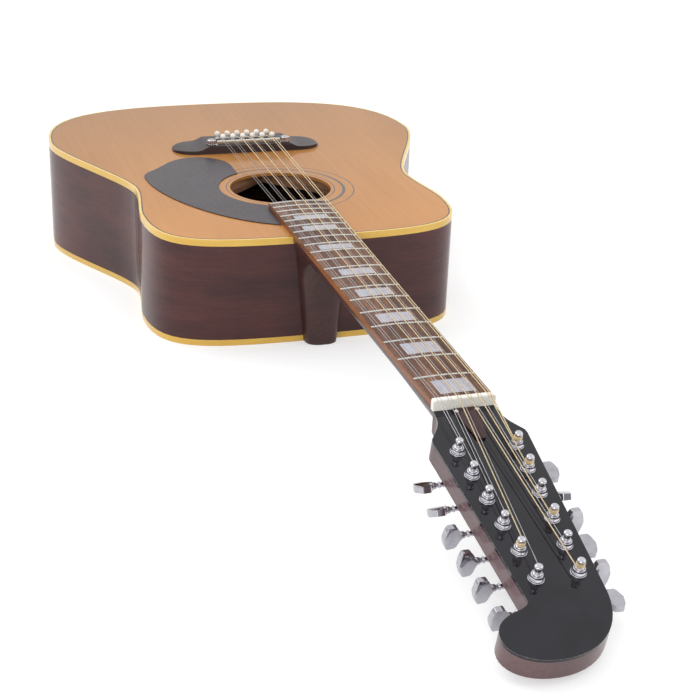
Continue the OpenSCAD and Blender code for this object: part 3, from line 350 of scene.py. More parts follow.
def ebony():
    f = Finish("bridge_wood", Specular_IOR_Level=0.28)
    fine = f.noise(f.place((24, 620, 620)), 1, 3, 0.65)
    band = f.noise(f.place((5, 110, 110)), 1, 3, 0.6)
    streaks = f.span(fine * 0.5 + band * 0.5, 0.4, 0.68)
    colour = f.mix((0.030, 0.021, 0.023), (0.075, 0.054, 0.056), streaks)
    return f.set(Base_Color=colour, Roughness=f.span(fine, 0.3, 0.7, 0.3, 0.46),
                 Normal=f.bump(fine, 0.00005, 0.6)).material


def moulded(name, colour, second, roughness, scale, coat=0.0, shine=0.5, turn=(0.35, 0.68)):
    """Plastic, bone or celluloid: two tones in soft clouds under a polish."""
    f = Finish(name, Coat_Weight=coat, Coat_Roughness=0.05, Specular_IOR_Level=shine)
    cloud = f.noise(f.place((scale,) * 3), 1, 3, 0.6)
    rub = f.noise(f.place((scale * 22,) * 3), 1, 2, 0.6)
    return f.set(Base_Color=f.mix(colour, second, f.span(cloud, *turn)),
                 Roughness=f.span(rub, 0.3, 0.75, roughness * 0.8, roughness * 1.35),
                 Normal=f.bump(rub, 0.00001)).material


def binding_plastic(look):
    f = Finish("binding", Coat_Weight=0.4, Coat_Roughness=0.06, Specular_IOR_Level=0.35)
    cloud = f.noise(f.place((16, 16, 90)), 1, 3, 0.6)
    band = f.noise(f.place((900, 14, 900)), 1, 2, 0.5)
    colour = f.mix(look.binding, look.binding_deep, f.span(cloud * 0.6 + band * 0.4, 0.35, 0.7))
    return f.set(Base_Color=colour, Roughness=f.span(band, 0.3, 0.7, 0.2, 0.3)).material


def black_lacquer(name, tint):
    f = Finish(name, Coat_Weight=0.22, Coat_Roughness=0.03, Specular_IOR_Level=0.3)
    cloud = f.noise(f.place((35, 35, 35)), 1, 2)
    hair = f.noise(f.place((700, 60, 700), (0, 0, 0.5)), 1, 2, 0.7)
    scuffs = f.span(hair, 0.66, 0.8)
    return f.set(Base_Color=f.mix(tint, tuple(c * 1.6 + 0.004 for c in tint), f.span(cloud, 0.35, 0.7)),
                 Roughness=scuffs * 0.16 + 0.09, Normal=lacquer_waves(f, 0.000002)).material


def pearl(name, cool, warm):
    """Mother-of-pearl: bands of changing tint with fine lines."""
    f = Finish(name, Coat_Weight=0.8, Coat_Roughness=0.06)
    swirl = f.noise(f.place((60, 26, 60)), 1, 3, 0.6, 1.2)
    lines = f.noise(f.place((520, 40, 520)), 1, 2, 0.6, 0.6)
    bright = tuple(c * 1.12 for c in cool)
    tint = f.ramp(swirl, (0.36, cool), (0.48, warm), (0.56, bright), (0.66, warm))
    lit = f.mix(tint, tuple(c * 0.72 for c in cool), f.span(lines, 0.5, 0.66) * 0.55)
    return f.set(Base_Color=lit, Roughness=f.span(lines, 0.3, 0.7, 0.18, 0.34)).material


def metal(name, tint, roughness, smudge=0.06, dull=0.9):
    """Plated or drawn metal with a breath of smudges; a lower dull deepens their dark clouds, which on the
    buttons also stands in for shade.
    """
    f = Finish(name, Metallic=1.0)
    cloud = f.noise(f.place((130, 130, 130)), 1, 3, 0.6)
    fine = f.noise(f.place((900, 900, 900)), 1, 2, 0.6)
    return f.set(Base_Color=f.mix(tint, tuple(c * dull for c in tint), f.span(cloud, 0.4, 0.7)),
                 Roughness=f.span(cloud * 0.5 + fine * 0.5, 0.35, 0.7, roughness, roughness + smudge),
                 Normal=f.bump(fine, 0.000002)).material


def winding(look):
    """Bronze wire wound on a steel core: bands across the string, by length along it."""
    f = Finish("bronze_winding", Metallic=1.0)
    run = f.along()
    turns = f.node("ShaderNodeTexWave", {"wave_type": "BANDS", "bands_direction": "X"},
                   {"Vector": run, "Scale": 780.0, "Distortion": 0.0}, out=1)
    age = f.noise(f.node("ShaderNodeMapping", None, {"Vector": run, "Scale": (60, 1, 1)}), 1, 2)
    # Painted shade: a darker bronze in the narrow lines between the turns, for the shade in the grooves
    # between the wraps
    colour = f.mix(f.mix((0.58, 0.38, 0.18), look.bronze, f.span(turns, 0.0, 0.4)),
                   (0.80, 0.58, 0.30), f.span(age, 0.5, 0.75) * 0.5)
    return f.set(Base_Color=colour, Roughness=f.span(turns, 0, 1, 0.4, 0.24),
                 Normal=f.bump(turns, 0.00012)).material


# ---------------------------------------------------------------- sizes and colours

def colour_property(name, description, default):
    return bpy.props.FloatVectorProperty(
        name=name, description=description, subtype="COLOR", size=3, min=0, max=1, default=default)


def length_property(name, description, default):
    return bpy.props.FloatProperty(name=name, description=description, default=default, min=0.0)


class GuitarLooks(bpy.types.PropertyGroup):
    """Colours of the finishes."""

    top_light: colour_property("Top, light", "Pale parts of the soundboard", (0.50, 0.230, 0.067))
    top_dark: colour_property("Top, dark", "Grain lines of the soundboard", (0.395, 0.171, 0.043))
    side_light: colour_property("Sides, light", "Pale streaks of the sides", (0.125, 0.043, 0.039))
    side_dark: colour_property("Sides, dark", "Dark ground of the sides", (0.052, 0.021, 0.022))
    side_pore: colour_property("Pores", "Pores of the mahogany", (0.010, 0.004, 0.004))
    neck_light: colour_property("Neck, light", "Pale streaks of the neck", (0.082, 0.033, 0.028))
    neck_dark: colour_property("Neck, dark", "Dark ground of the neck", (0.042, 0.018, 0.017))
    # Painted light: the headstock's sides get a lighter wood tone for the light that falls on them
    head_edge_painted_light: colour_property("Headstock, edge", "Sides of the headstock", (0.185, 0.110, 0.114))
    board_light: colour_property("Fingerboard, light", "Pale streaks of the board", (0.31, 0.150, 0.085))
    board_mid: colour_property("Fingerboard, middle", "Ground of the board", (0.145, 0.065, 0.040))
    board_dark: colour_property("Fingerboard, dark", "Dark streaks of the board", (0.05, 0.021, 0.014))
    board_edge: colour_property("Fingerboard, edge", "Long sides of the board", (0.42, 0.14, 0.035))
    binding: colour_property("Binding", "Binding round the body", (0.90, 0.58, 0.11))
    binding_deep: colour_property("Binding, deep", "Darker clouds of the binding", (0.76, 0.44, 0.07))
    bronze: colour_property("Bronze", "Winding of the bass strings", (0.95, 0.81, 0.54))


class GuitarSizes(bpy.types.PropertyGroup):
    """Sizes of the small details, in millimetres."""

    wood_edge: length_property("Wood edge", "Rounding of the woods' edges, in millimetres", 0.8)
    fine_edge: length_property("Fine edge", "Rounding of small edges, in millimetres", 0.3)
    fret_width: length_property("Fret width", "Width of a fret's crown, in millimetres", 2.0)
    fret_height: length_property("Fret height", "Height of a fret's crown, in millimetres", 1.0)
    wind_turns: length_property("Turns", "Turns of string on a post", 2.5)


def looks():
    return bpy.context.scene.guitar_looks


def sizes():
    return bpy.context.scene.guitar_sizes


# ---------------------------------------------------------------- shapes

def mesh_from(name, verts, faces):
    mesh = bpy.data.meshes.new(name)
    mesh.from_pydata([tuple(v) for v in verts], [], faces)
    mesh.update()
    return mesh


def edited(mesh):
    """A bmesh that holds a mesh, for editing."""
    bm = bmesh.new()
    bm.from_mesh(mesh)
    return bm


def closed(bm, name):
    """The finished mesh of a bmesh."""
    mesh = bpy.data.meshes.new(name)
    bm.to_mesh(mesh)
    bm.free()
    return mesh


def outward(mesh):
    """The same closed mesh with its faces turned outwards."""
    bm = edited(mesh)
    bmesh.ops.recalc_face_normals(bm, faces=bm.faces)
    return closed(bm, mesh.name)


def smooth(mesh, angle=38):
    mesh.shade_smooth()
    mesh.set_sharp_from_angle(angle=math.radians(angle))
    return mesh


def joined(name, meshes):
    bm = bmesh.new()
    for mesh in meshes:
        bm.from_mesh(mesh)
    return closed(bm, name)


def show(name, mesh, material, body="guitar", nodes=()):
    """Puts a finished mesh in the scene as a piece of the guitar."""
    piece = bpy.data.objects.new(name, mesh)
    bpy.context.scene.collection.objects.link(piece)
    mesh.materials.clear()
    mesh.materials.append(material)
    for face in mesh.polygons:
        face.material_index = 0
    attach(piece, body)
    if nodes:
        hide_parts(*nodes)
    return piece


def show_turning(node, mesh, material):
    """Puts a plated piece in the place of a CAD node that has a body of its own."""
    show(node + "_round", mesh, material, node + "_body", (node,))


def baked(mesh, make_modifier):
    """The mesh after one modifier."""
    helper = bpy.data.objects.new("helper", mesh)
    bpy.context.scene.collection.objects.link(helper)
    make_modifier(helper)
    bpy.context.view_layer.update()
    seen = helper.evaluated_get(bpy.context.evaluated_depsgraph_get())
    result = bpy.data.meshes.new_from_object(seen)
    bpy.data.objects.remove(helper)
    return result


def bevelled(mesh, width, segments=2, angle=35):
    def add(helper):
        bevel = helper.modifiers.new("edge", "BEVEL")
        bevel.width, bevel.segments = width * MM, segments
        bevel.limit_method, bevel.angle_limit = "ANGLE", math.radians(angle)
        bevel.use_clamp_overlap = True
    return baked(mesh, add)


def flat_faced(mesh):
    """Lets the big flat faces shade flat, with the turn kept to the rounded edges."""
    def add(helper):
        weighted = helper.modifiers.new("weights", "WEIGHTED_NORMAL")
        weighted.keep_sharp = True
    return baked(mesh, add)


def solid_copy(node, flat=0.4):
    """A welded copy of a CAD node's mesh with its flat faces whole again."""
    bm = edited(frame["nodes"][node].data)
    bmesh.ops.remove_doubles(bm, verts=bm.verts, dist=2e-6)
    bmesh.ops.dissolve_limit(bm, angle_limit=math.radians(flat), verts=bm.verts, edges=bm.edges)
    return closed(bm, node + "_copy")


def rounded_piece(node, material, width, segments=2, angle=35, body="guitar", soft=38):
    """Stands a copy of a CAD node with rounded edges and a smooth skin in its place."""
    mesh = flat_faced(smooth(bevelled(solid_copy(node), width, segments, angle), soft))
    return show(node + "_round", mesh, material, body, (node,))


def turned(profile, segments=40):
    """Lathe: (radius, height) points turned round z; an end on the axis closes there."""
    verts, rings, faces = [], [], []
    for radius, height in profile:
        if radius == 0:
            rings.append([len(verts)])
            verts.append((0, 0, height))
        else:
            start = len(verts)
            verts += [(radius * math.cos(a), radius * math.sin(a), height)
                      for a in (2 * math.pi * k / segments for k in range(segments))]
            rings.append(list(range(start, start + segments)))
    pairs = list(zip(rings, rings[1:]))
    if len(rings[0]) > 1 and len(rings[-1]) > 1:
        pairs.append((rings[-1], rings[0]))
    for low, high in pairs:
        for k in range(segments):
            n = (k + 1) % segments
            corners = (low[k % len(low)], low[n % len(low)], high[n % len(high)], high[k % len(high)])
            faces.append(tuple(dict.fromkeys(corners)))
    return outward(mesh_from("turned", verts, faces))


def arc(cx, cy, radius, start, end, steps):
    return [(cx + radius * math.cos(math.radians(start + (end - start) * k / steps)),
             cy + radius * math.sin(math.radians(start + (end - start) * k / steps)))
            for k in range(steps + 1)]


def bezier(a, b, c, d, steps):
    """Points of one cubic run, without its last."""
    points = []
    for k in range(steps):
        t = k / steps
        w = ((1 - t) ** 3, 3 * t * (1 - t) ** 2, 3 * t * t * (1 - t), t ** 3)
        points.append(tuple(sum(w[j] * p[i] for j, p in enumerate((a, b, c, d))) for i in (0, 1)))
    return points


def placed(mesh, matrix):
    mesh.transform(matrix)
    return mesh


# ---------------------------------------------------------------- geometry nodes

def new_tree(name, inputs):
    """A geometry node tree with named inputs; returns its graph and its input fields."""
    tree = bpy.data.node_groups.new(name, "GeometryNodeTree")
    tree.interface.new_socket("Geometry", in_out="INPUT", socket_type="NodeSocketGeometry")
    for key, kind, default in inputs:
        socket = tree.interface.new_socket(key, in_out="INPUT", socket_type=kind)
        if default is not None:
            socket.default_value = default
    tree.interface.new_socket("Geometry", in_out="OUTPUT", socket_type="NodeSocketGeometry")
    graph = Graph(tree)
    start = tree.nodes.new("NodeGroupInput")
    fields = {socket.name: Field(graph, socket) for socket in start.outputs if socket.name}
    return graph, fields


def close_tree(graph, geometry, material):
    real = graph.node("GeometryNodeRealizeInstances", None, {0: geometry})
    painted = graph.node("GeometryNodeSetMaterial", None, {"Geometry": real, "Material": material})
    end = graph.tree.nodes.new("NodeGroupOutput")
    graph.tree.links.new(painted.socket, end.inputs[0])
    return graph.tree


def repeat_tree():
    """Stands a template on every point, turned by the point's own angles."""
    graph, given = new_tree("stand_on_points", [
        ("Template", "NodeSocketObject", None), ("Size", "NodeSocketFloat", 1.0),
        ("Material", "NodeSocketMaterial", None)])
    shape = graph.node("GeometryNodeObjectInfo", None, {"Object": given["Template"]}, out=4)
    angles = graph.node("GeometryNodeInputNamedAttribute", {"data_type": "FLOAT_VECTOR"}, {"Name": "turn"})
    turn = graph.node("FunctionNodeEulerToRotation", None, {0: angles})
    stood = graph.node("GeometryNodeInstanceOnPoints", None, {
        "Points": given["Geometry"], "Instance": shape, "Rotation": turn, "Scale": given["Size"]})
    return close_tree(graph, stood, given["Material"])


def sweep_tree():
    """Sweeps a round or flattened bar along edges, with a radius of its own at each point."""
    graph, given = new_tree("sweep_along", [
        ("Width", "NodeSocketFloat", 1.0), ("Height", "NodeSocketFloat", 1.0),
        ("Sides", "NodeSocketInt", 12), ("Material", "NodeSocketMaterial", None)])
    curve = graph.node("GeometryNodeMeshToCurve", None, {"Mesh": given["Geometry"]})
    radius = graph.node("GeometryNodeInputNamedAttribute", {"data_type": "FLOAT"}, {"Name": "thick"})
    flat = graph.node("GeometryNodeSetCurveNormal", {"mode": "Z_UP"}, {"Curve": curve})
    length = graph.node("GeometryNodeSplineParameter", out=1)
    kept = graph.node("GeometryNodeStoreNamedAttribute", {"data_type": "FLOAT", "domain": "POINT"},
                      {"Geometry": flat, "Name": "reach", "Value": length})
    ring = graph.node("GeometryNodeCurvePrimitiveCircle", None,
                      {"Resolution": given["Sides"], "Radius": 1.0})
    size = graph.node("ShaderNodeCombineXYZ", None, {"X": given["Width"], "Y": given["Height"], "Z": 1.0})
    profile = graph.node("GeometryNodeTransform", None, {"Geometry": ring, "Scale": size})
    swept = graph.node("GeometryNodeCurveToMesh", None, {
        "Curve": kept, "Profile Curve": profile, "Scale": radius, "Fill Caps": True})
    soft = graph.node("GeometryNodeSetShadeSmooth", None, {"Geometry": swept})
    return close_tree(graph, soft, given["Material"])


def run_tree(tree, mesh, **values):
    """The mesh that a tree makes from another one."""
    def add(helper):
        modifier = helper.modifiers.new("tree", "NODES")
        modifier.node_group = tree
        for item in tree.interface.items_tree:
            if item.in_out == "INPUT" and item.name in values:
                modifier[item.identifier] = values[item.name]
    return baked(mesh, add)


def points_mesh(matrices):
    """Points with the turn of each matrix as an attribute; the matrices scale millimetres."""
    mesh = mesh_from("points", [m.translation for m in matrices], [])
    turn = mesh.attributes.new("turn", "FLOAT_VECTOR", "POINT")
    for k, matrix in enumerate(matrices):
        turn.data[k].vector = Vector(matrix.to_euler())
    return mesh


def repeated(name, template, matrices, material, body="guitar", nodes=(), soft=38):
    """Shows one template at many places as a single piece, by geometry nodes."""
    pattern = bpy.data.objects.new("pattern", template)
    bpy.context.scene.collection.objects.link(pattern)
    mesh = run_tree(repeat_tree(), points_mesh(matrices), Template=pattern, Size=MM, Material=material)
    bpy.data.objects.remove(pattern)
    return show(name, smooth(mesh, soft), material, body, nodes)


def line_mesh(routes, thick):
    """Edges along each route in metres, with a thickness at each point."""
    mesh = bpy.data.meshes.new("routes")
    verts, edges, sizes_of = [], [], []
    for route, size in zip(routes, thick):
        start = len(verts)
        verts += [tuple(p) for p in route]
        edges += [(start + k, start + k + 1) for k in range(len(route) - 1)]
        sizes_of += size if isinstance(size, list) else [size] * len(route)
    mesh.from_pydata(verts, edges, [])
    data = mesh.attributes.new("thick", "FLOAT", "POINT")
    for k, size in enumerate(sizes_of):
        data.data[k].value = size
    return mesh


def paint(node, material):
    """Gives a CAD node a finish of its own."""
    slots = frame["nodes"][node].data.materials
    slots.clear()
    slots.append(material)


# ---------------------------------------------------------------- operators

class GUITAR_OT_soundboard(bpy.types.Operator):
    """Gives the soundboard, its inlaid rings and its inner woods their finishes"""

    bl_idname = "guitar.soundboard"
    bl_label = "Soundboard and inside"

    def execute(self, context):
        paint("soundboard", spruce(looks()))
        wood = raw_wood()
        for node in ("linings", "neck_block", "tail_block", "top_braces", "back_braces", "bridge_plate"):
            paint(node, wood)
        paint("rosette", moulded("rosette_wood", (0.016, 0.011, 0.010), (0.040, 0.022, 0.017),
                                 0.18, 80, coat=0.3, shine=0.3))
        paint("top_purfling", moulded("purfling", (0.020, 0.024, 0.014), (0.034, 0.034, 0.020),
                                      0.18, 60, coat=0.25, shine=0.25))
        paint("truss_rod", metal("rod_steel", (0.36, 0.36, 0.37), 0.35))
        return {"FINISHED"}


class GUITAR_OT_body(bpy.types.Operator):
    """Makes the sides, the back and the bindings with smooth skins"""

    bl_idname = "guitar.body"
    bl_label = "Sides, back and bindings"

    def execute(self, context):
        look = looks()
        wood = bent_mahogany(look)
        for node in ("sides", "back"):
            skin = smooth(solid_copy(node), 30)
            piece = show(node + "_skin", skin, wood, "guitar", (node,))
            grain_along_outline(piece.data)
        edge = binding_plastic(look)
        for node in ("top_binding", "back_binding"):
            rounded_piece(node, edge, sizes().wood_edge, 3, 60)
        return {"FINISHED"}


def grain_along_outline(mesh):
    """Stores, for each corner, the way along the guitar's outline and the height, in metres."""
    middle_x = (cad_box[0].x + cad_box[1].x) / 2
    middle_y = GUITAR.translation.y + (BODY_Y + BODY_LEN / 2) * MM
    run = mesh.attributes.new("run", "FLOAT_VECTOR", "POINT")
    for k, vert in enumerate(mesh.vertices):
        x, y = vert.co.x - middle_x, vert.co.y - middle_y
        side = abs(math.atan2(abs(x), y)) * 0.24
        run.data[k].vector = (side + (10 if x < 0 else 0), vert.co.z, 0)


class GUITAR_OT_bridge(bpy.types.Operator):
    """Makes the bridge, its saddle, its adjuster screws and its pins"""

    bl_idname = "guitar.bridge"
    bl_label = "Bridge"

    def execute(self, context):
        rounded_piece("bridge", ebony(), 0.7, 3, 25)
        steel = metal("saddle_metal", (0.78, 0.76, 0.70), 0.22)
        rounded_piece("saddle", steel, sizes().fine_edge, 2, 40, "saddle_body")
        chrome = metal("adjuster_chrome", (0.60, 0.58, 0.60), 0.1)
        for name, side in (("treble", -1), ("bass", 1)):
            place = GUITAR @ Matrix.Translation((side * ADJUST_X, SADDLE_Y, 0))
            show_turning("saddle_screw_" + name, smooth(placed(knurled_screw(), place), 25), chrome)
        self.pins()
        return {"FINISHED"}

    def pins(self):
        ball = arc(0, 4.7, 3.2, -60, 90, 14)
        profile = [(0, -14.5), (2.2, -14.5), (2.5, -13.9), (2.5, 0.1), (2.35, 0.35), (1.62, 0.6),
                   (1.55, 1.4)]
        template = turned(profile + [(r if r > 1e-6 else 0, z) for r, z in ball], 32)
        places = [GUITAR @ Matrix.Translation((*pin_place(k), BRIDGE_H)) for k in STRINGS]
        cream = moulded("pin_cream", (0.90, 0.89, 0.87), (0.84, 0.66, 0.40), 0.12, 75, coat=0.6,
                        turn=(0.5, 0.62))
        repeated("bridge_pins_round", template, places, cream, nodes=("bridge_pins",))


def knurled_screw(foot=-3.0, low=9.1, high=14.1, radius=4.9, ridges=28):
    """An adjuster screw: a shank under a thumb wheel with a ridged rim and a slotted face."""
    levels = [(4.2, low, 0), (radius, low + 0.5, 0), (radius, low + 0.8, 0.32), (radius, high - 0.8, 0.32),
              (radius, high - 0.5, 0), (4.3, high, 0)]
    count = 2 * ridges
    verts = [((r - depth * (k % 2)) * math.cos(math.pi * k / ridges),
              (r - depth * (k % 2)) * math.sin(math.pi * k / ridges), z)
             for r, z, depth in levels for k in range(count)]
    faces = [tuple(range(count)), tuple(range(len(verts) - count, len(verts)))]
    for j in range(len(levels) - 1):
        faces += [(j * count + k, j * count + (k + 1) % count,
                   (j + 1) * count + (k + 1) % count, (j + 1) * count + k) for k in range(count)]
    wheel = outward(mesh_from("wheel", verts, faces))
    blade = bmesh.new()
    bmesh.ops.create_cube(blade, matrix=Matrix.Translation((0, 0, high)) @ Matrix.Diagonal((11, 1.2, 2, 1)))
    cutter = bpy.data.objects.new("cutter", closed(blade, "cutter"))
    bpy.context.scene.collection.objects.link(cutter)

    def add(helper):
        slot = helper.modifiers.new("slot", "BOOLEAN")
        slot.operation, slot.object = "DIFFERENCE", cutter
    slotted = baked(wheel, add)
    bpy.data.objects.remove(cutter)
    shank = turned([(0, foot), (1.8, foot), (1.8, low + 0.2), (0, low + 0.2)], 24)
    return joined("screw", [slotted, shank])


class GUITAR_OT_neck(bpy.types.Operator):
    """Makes the neck, the headstock's face and the truss rod cover"""

    bl_idname = "guitar.neck"
    bl_label = "Neck and headstock"

    def execute(self, context):
        look, size = looks(), sizes()
        wood = long_mahogany("mahogany_neck", look.neck_light, look.neck_dark, look.side_pore,
                             look.head_edge_painted_light)
        neck = rounded_piece("neck", wood, size.wood_edge, 2, 50, soft=42)
        slim_shaft(neck.data)
        face = black_lacquer("headstock_lacquer", (0.0045, 0.0045, 0.0085))
        veneer = rounded_piece("headstock_veneer", face, 0.8, 3, 50)
        # Painted highlight: the sloped bevel faces round the headstock's face get a pale grey lacquer, for
        # the bright line that light draws along that rim
        veneer.data.materials.append(black_lacquer("rubbed_edge", (0.55, 0.53, 0.52)))
        up = HEAD.to_3x3().col[2].normalized()
        for side in veneer.data.polygons:
            side.material_index = 1 if 0.25 < side.normal.dot(up) < 0.96 else 0
        cover = moulded("cover_plastic", (0.030, 0.006, 0.008), (0.044, 0.009, 0.011), 0.14, 60)
        rounded_piece("truss_rod_cover", cover, 0.4, 2, 40)
        steel = metal("screw_steel", (0.66, 0.66, 0.66), 0.2)
        rounded_piece("cover_screws", steel, 0.1, 1, 50)
        return {"FINISHED"}


def slim_shaft(mesh, heel_start=300):
    """Draws the neck's half-round section in under the board's edges, between nut and heel."""
    to_neck = NECK.inverted()
    for vert in mesh.vertices:
        spot = to_neck @ vert.co
        if spot.z < -0.5 and 0 < spot.y < heel_start:
            fade = min(1, spot.y / 24, (heel_start - spot.y) / 60)
            across = min(abs(spot.x) / half_board(spot.y), 0.995)
            slim = (1 - across ** 1.74) ** 0.575 / (1 - across ** 2.5) ** 0.4
            spot.z *= 1 + (slim * 0.95 - 1) * fade
            vert.co = NECK @ spot


class GUITAR_OT_fingerboard(bpy.types.Operator):
    """Makes the fingerboard, its frets, its inlays and the nut"""

    bl_idname = "guitar.fingerboard"
    bl_label = "Fingerboard"

    def execute(self, context):
        look, size = looks(), sizes()
        board = rounded_piece("fretboard", rosewood(look), 0.35, 2, 50, soft=25)
        edge = long_mahogany("board_edge", look.board_edge, look.board_mid, look.board_dark, coat=0.3)
        board.data.materials.append(edge)
        for face in board.data.polygons:
            face.material_index = 1 if abs(face.normal.x) > 0.8 else 0
        inlay = pearl("inlay_pearl", (0.40, 0.41, 0.50), (0.50, 0.47, 0.52))
        show("inlays_smooth", smooth(solid_copy("inlays", 0.05), 25), inlay, nodes=("inlays",))
        bone = moulded("nut_bone", (0.93, 0.91, 0.86), (0.88, 0.84, 0.76), 0.2, 50)
        rounded_piece("nut", bone, 0.3, 2, 40)
        self.frets(size)
        return {"FINISHED"}

    def frets(self, size, sink=0.15):
        routes = []
        for n in FRETS:
            y = SCALE_LEN * (1 - 2 ** (-n / 12))
            half = half_board(y) - sink
            routes.append([NECK @ Vector((x, y, crown(x) - sink)) for x in
                           (half * k / 12 for k in range(-12, 13))])
        wire = metal("fret_nickel", (0.74, 0.73, 0.70), 0.2)
        mesh = run_tree(sweep_tree(), line_mesh(routes, [1.0] * len(routes)), Material=wire, Sides=16,
                        Width=size.fret_width / 2 * MM, Height=(size.fret_height + 0.1) * MM)
        show("frets_round", mesh, wire, nodes=("frets",))


def crown(x):
    """Height of the fingerboard's crowned face."""
    return BOARD_T - CROWN_R + math.sqrt(CROWN_R ** 2 - x * x)


class GUITAR_OT_tuners(bpy.types.Operator):
    """Makes the tuners: plates, ferrules, posts with their gears, and buttons"""

    bl_idname = "guitar.tuners"
    bl_label = "Tuners"

    def execute(self, context):
        chrome = metal("tuner_chrome", (0.62, 0.61, 0.66), 0.06, 0.05)
        rounded_piece("tuner_plates", chrome, 0.25, 2, 50)
        steel = metal("plate_screw_steel", (0.60, 0.60, 0.60), 0.25)
        rounded_piece("tuner_screws", steel, 0.15, 1, 50)
        places = [post_frame(i) for i in TUNERS]
        bell = [(3.06, -9), (4.3, -9), (4.3, 0), (5.1, 0)] + arc(5.1, 0.2, 0.2, -90, 0, 3) \
            + arc(5.1, 0.7, 0.2, 0, 90, 3) \
            + bezier((4.95, 0.95), (4.9, 2.3), (4.15, 2.2), (4.0, 4.0), 10) \
            + arc(3.65, 4.25, 0.35, 0, 90, 4) + [(3.3, 4.6), (3.06, 4.4)]
        repeated("tuner_ferrules_round", turned(bell, 40), places, chrome, nodes=("tuner_ferrules",))
        # Painted shade: the buttons get a darker copy of the chrome, with deeper smudge clouds, for the
        # darker reflections they show
        wear_and_painted_shade = metal("button_chrome", (0.47, 0.46, 0.50), 0.07, 0.05, 0.84)
        for i in TUNERS:
            self.post(i, chrome)
            self.button(i, wear_and_painted_shade)
        return {"FINISHED"}

    def post(self, i, chrome):
        low, high, root, tip, teeth = -21.7, -18.1, 3.95, 5.0, 14
        profile = [(0, low - 1.2), (2.3, low - 1.2), (2.6, low - 0.9), (2.6, low), (2.6, high),
                   (3.0, high + 0.2), (3.0, 5.2)] \
            + bezier((3.0, 5.2), (3.0, 5.7), (2.2, 5.6), (2.2, 6.1), 5) + [(2.2, 9.5)] \
            + bezier((2.2, 9.5), (2.25, 10.1), (2.85, 10.0), (2.85, 10.5), 5) \
            + bezier((2.85, 10.5), (2.85, 11.7), (1.6, 12.2), (0.0, 12.2), 9) + [(0, 12.2)]
        shaft = turned(profile, 32)
        ring = [(2 * math.pi * a / teeth, r) for t in range(teeth)
                for a, r in ((t, root), (t + 0.12, tip), (t + 0.42, tip), (t + 0.54, root))]
        verts = [(r * math.cos(a), r * math.sin(a), z) for z in (low, high) for a, r in ring]
        verts += [(2.5 * math.cos(a), 2.5 * math.sin(a), z) for z in (low, high) for a, r in ring]
        n = len(ring)
        faces = []
        for k in range(n):
            m = (k + 1) % n
            faces += [(k, m, n + m, n + k), (2 * n + k, 3 * n + k, 3 * n + m, 2 * n + m),
                      (k, 2 * n + k, 2 * n + m, m), (n + k, n + m, 3 * n + m, 3 * n + k)]
        gear = outward(mesh_from("gear", verts, faces))
        mesh = placed(joined("post", [shaft, gear]), post_frame(i))
        show_turning(f"tuner_post_{i}", smooth(mesh, 32), chrome)

    def button(self, i, chrome):
        run = bezier((0, 2.2), (1.2, 2.4), (2.4, 7.5), (4.4, 8.3), 10) \
            + bezier((4.4, 8.3), (6.0, 8.6), (7.6, 8.7), (9.2, 8.7), 4) \
            + bezier((9.2, 8.7), (9.8, 8.7), (10.1, 8.4), (10.2, 8.0), 5) \
            + bezier((10.2, 8.0), (11.6, 6.0), (BLADE_LEN, 3.2), (BLADE_LEN, 0.0), 12) \
            + [(BLADE_LEN, 0.0)]
        blade = blade_mesh(run, 19)
        profile = [(0, -7.4), (1.3, -7.4), (1.5, -7.2), (1.5, -3.9)] + worm_profile() \
            + [(1.5, 3.9), (1.5, 8.9), (1.8, 9.0), (2.0, 9.2), (2.0, 10.8), (1.6, 11.5), (1.6, 12.5)] \
            + arc(1.9, 13.5, 0.5, -90, 90, 6) + [(1.65, 14.3), (1.65, 15.3)] \
            + bezier((1.65, 15.3), (1.7, 16.2), (2.5, 16.2), (2.5, 17.2), 6) \
            + [(2.5, 18.6), (2.3, 19.6), (0, 19.6)]
        shaft = turned(profile, 28)
        shaft.transform(Matrix.Rotation(math.pi / 2, 4, "Y"))
        mesh = placed(joined("button", [blade, shaft]), button_frame(i))
        show_turning(f"tuner_button_{i}", smooth(mesh, 45), chrome)


def blade_mesh(run, out, half_thick=3.1):
    """A button's blade: its half plan mirrored, thick in the middle, with crisp soft-edged rims."""
    rows, verts, faces = 24, [], []
    lanes = [math.cos(math.pi * k / (rows - 1)) for k in range(rows)]
    for x, half in run:
        for face in (1, -1):
            for lane in lanes:
                y = half * lane
                dome = 1 - 0.24 * lane * lane - 0.12 * (x / BLADE_LEN) ** 2
                verts.append((out + x, y, face * half_thick * dome))
    across = 2 * rows
    for j in range(len(run) - 1):
        a, b = j * across, (j + 1) * across
        for k in range(rows - 1):
            faces += [(a + k, a + k + 1, b + k + 1, b + k),
                      (a + rows + k, b + rows + k, b + rows + k + 1, a + rows + k + 1)]
        for k in (0, rows - 1):
            faces.append((a + k, b + k, b + rows + k, a + rows + k))
    for a in (0, (len(run) - 1) * across):
        faces += [(a + k, a + rows + k, a + rows + k + 1, a + k + 1) for k in range(rows - 1)]
    bm = edited(mesh_from("blade", verts, faces))
    bmesh.ops.remove_doubles(bm, verts=bm.verts, dist=0.002)
    bmesh.ops.dissolve_degenerate(bm, edges=bm.edges, dist=0.001)
    bmesh.ops.recalc_face_normals(bm, faces=bm.faces)
    return bevelled(closed(bm, "blade"), 1 / MM, 4, 50)


def worm_profile():
    """Thread ridges along the worm, as grooves turned in it."""
    points = []
    for k in range(5):
        z = -3.5 + k * 1.5
        points += [(1.7, z), (2.3, z + 0.3), (2.3, z + 0.6), (1.7, z + 0.95)]
    return points


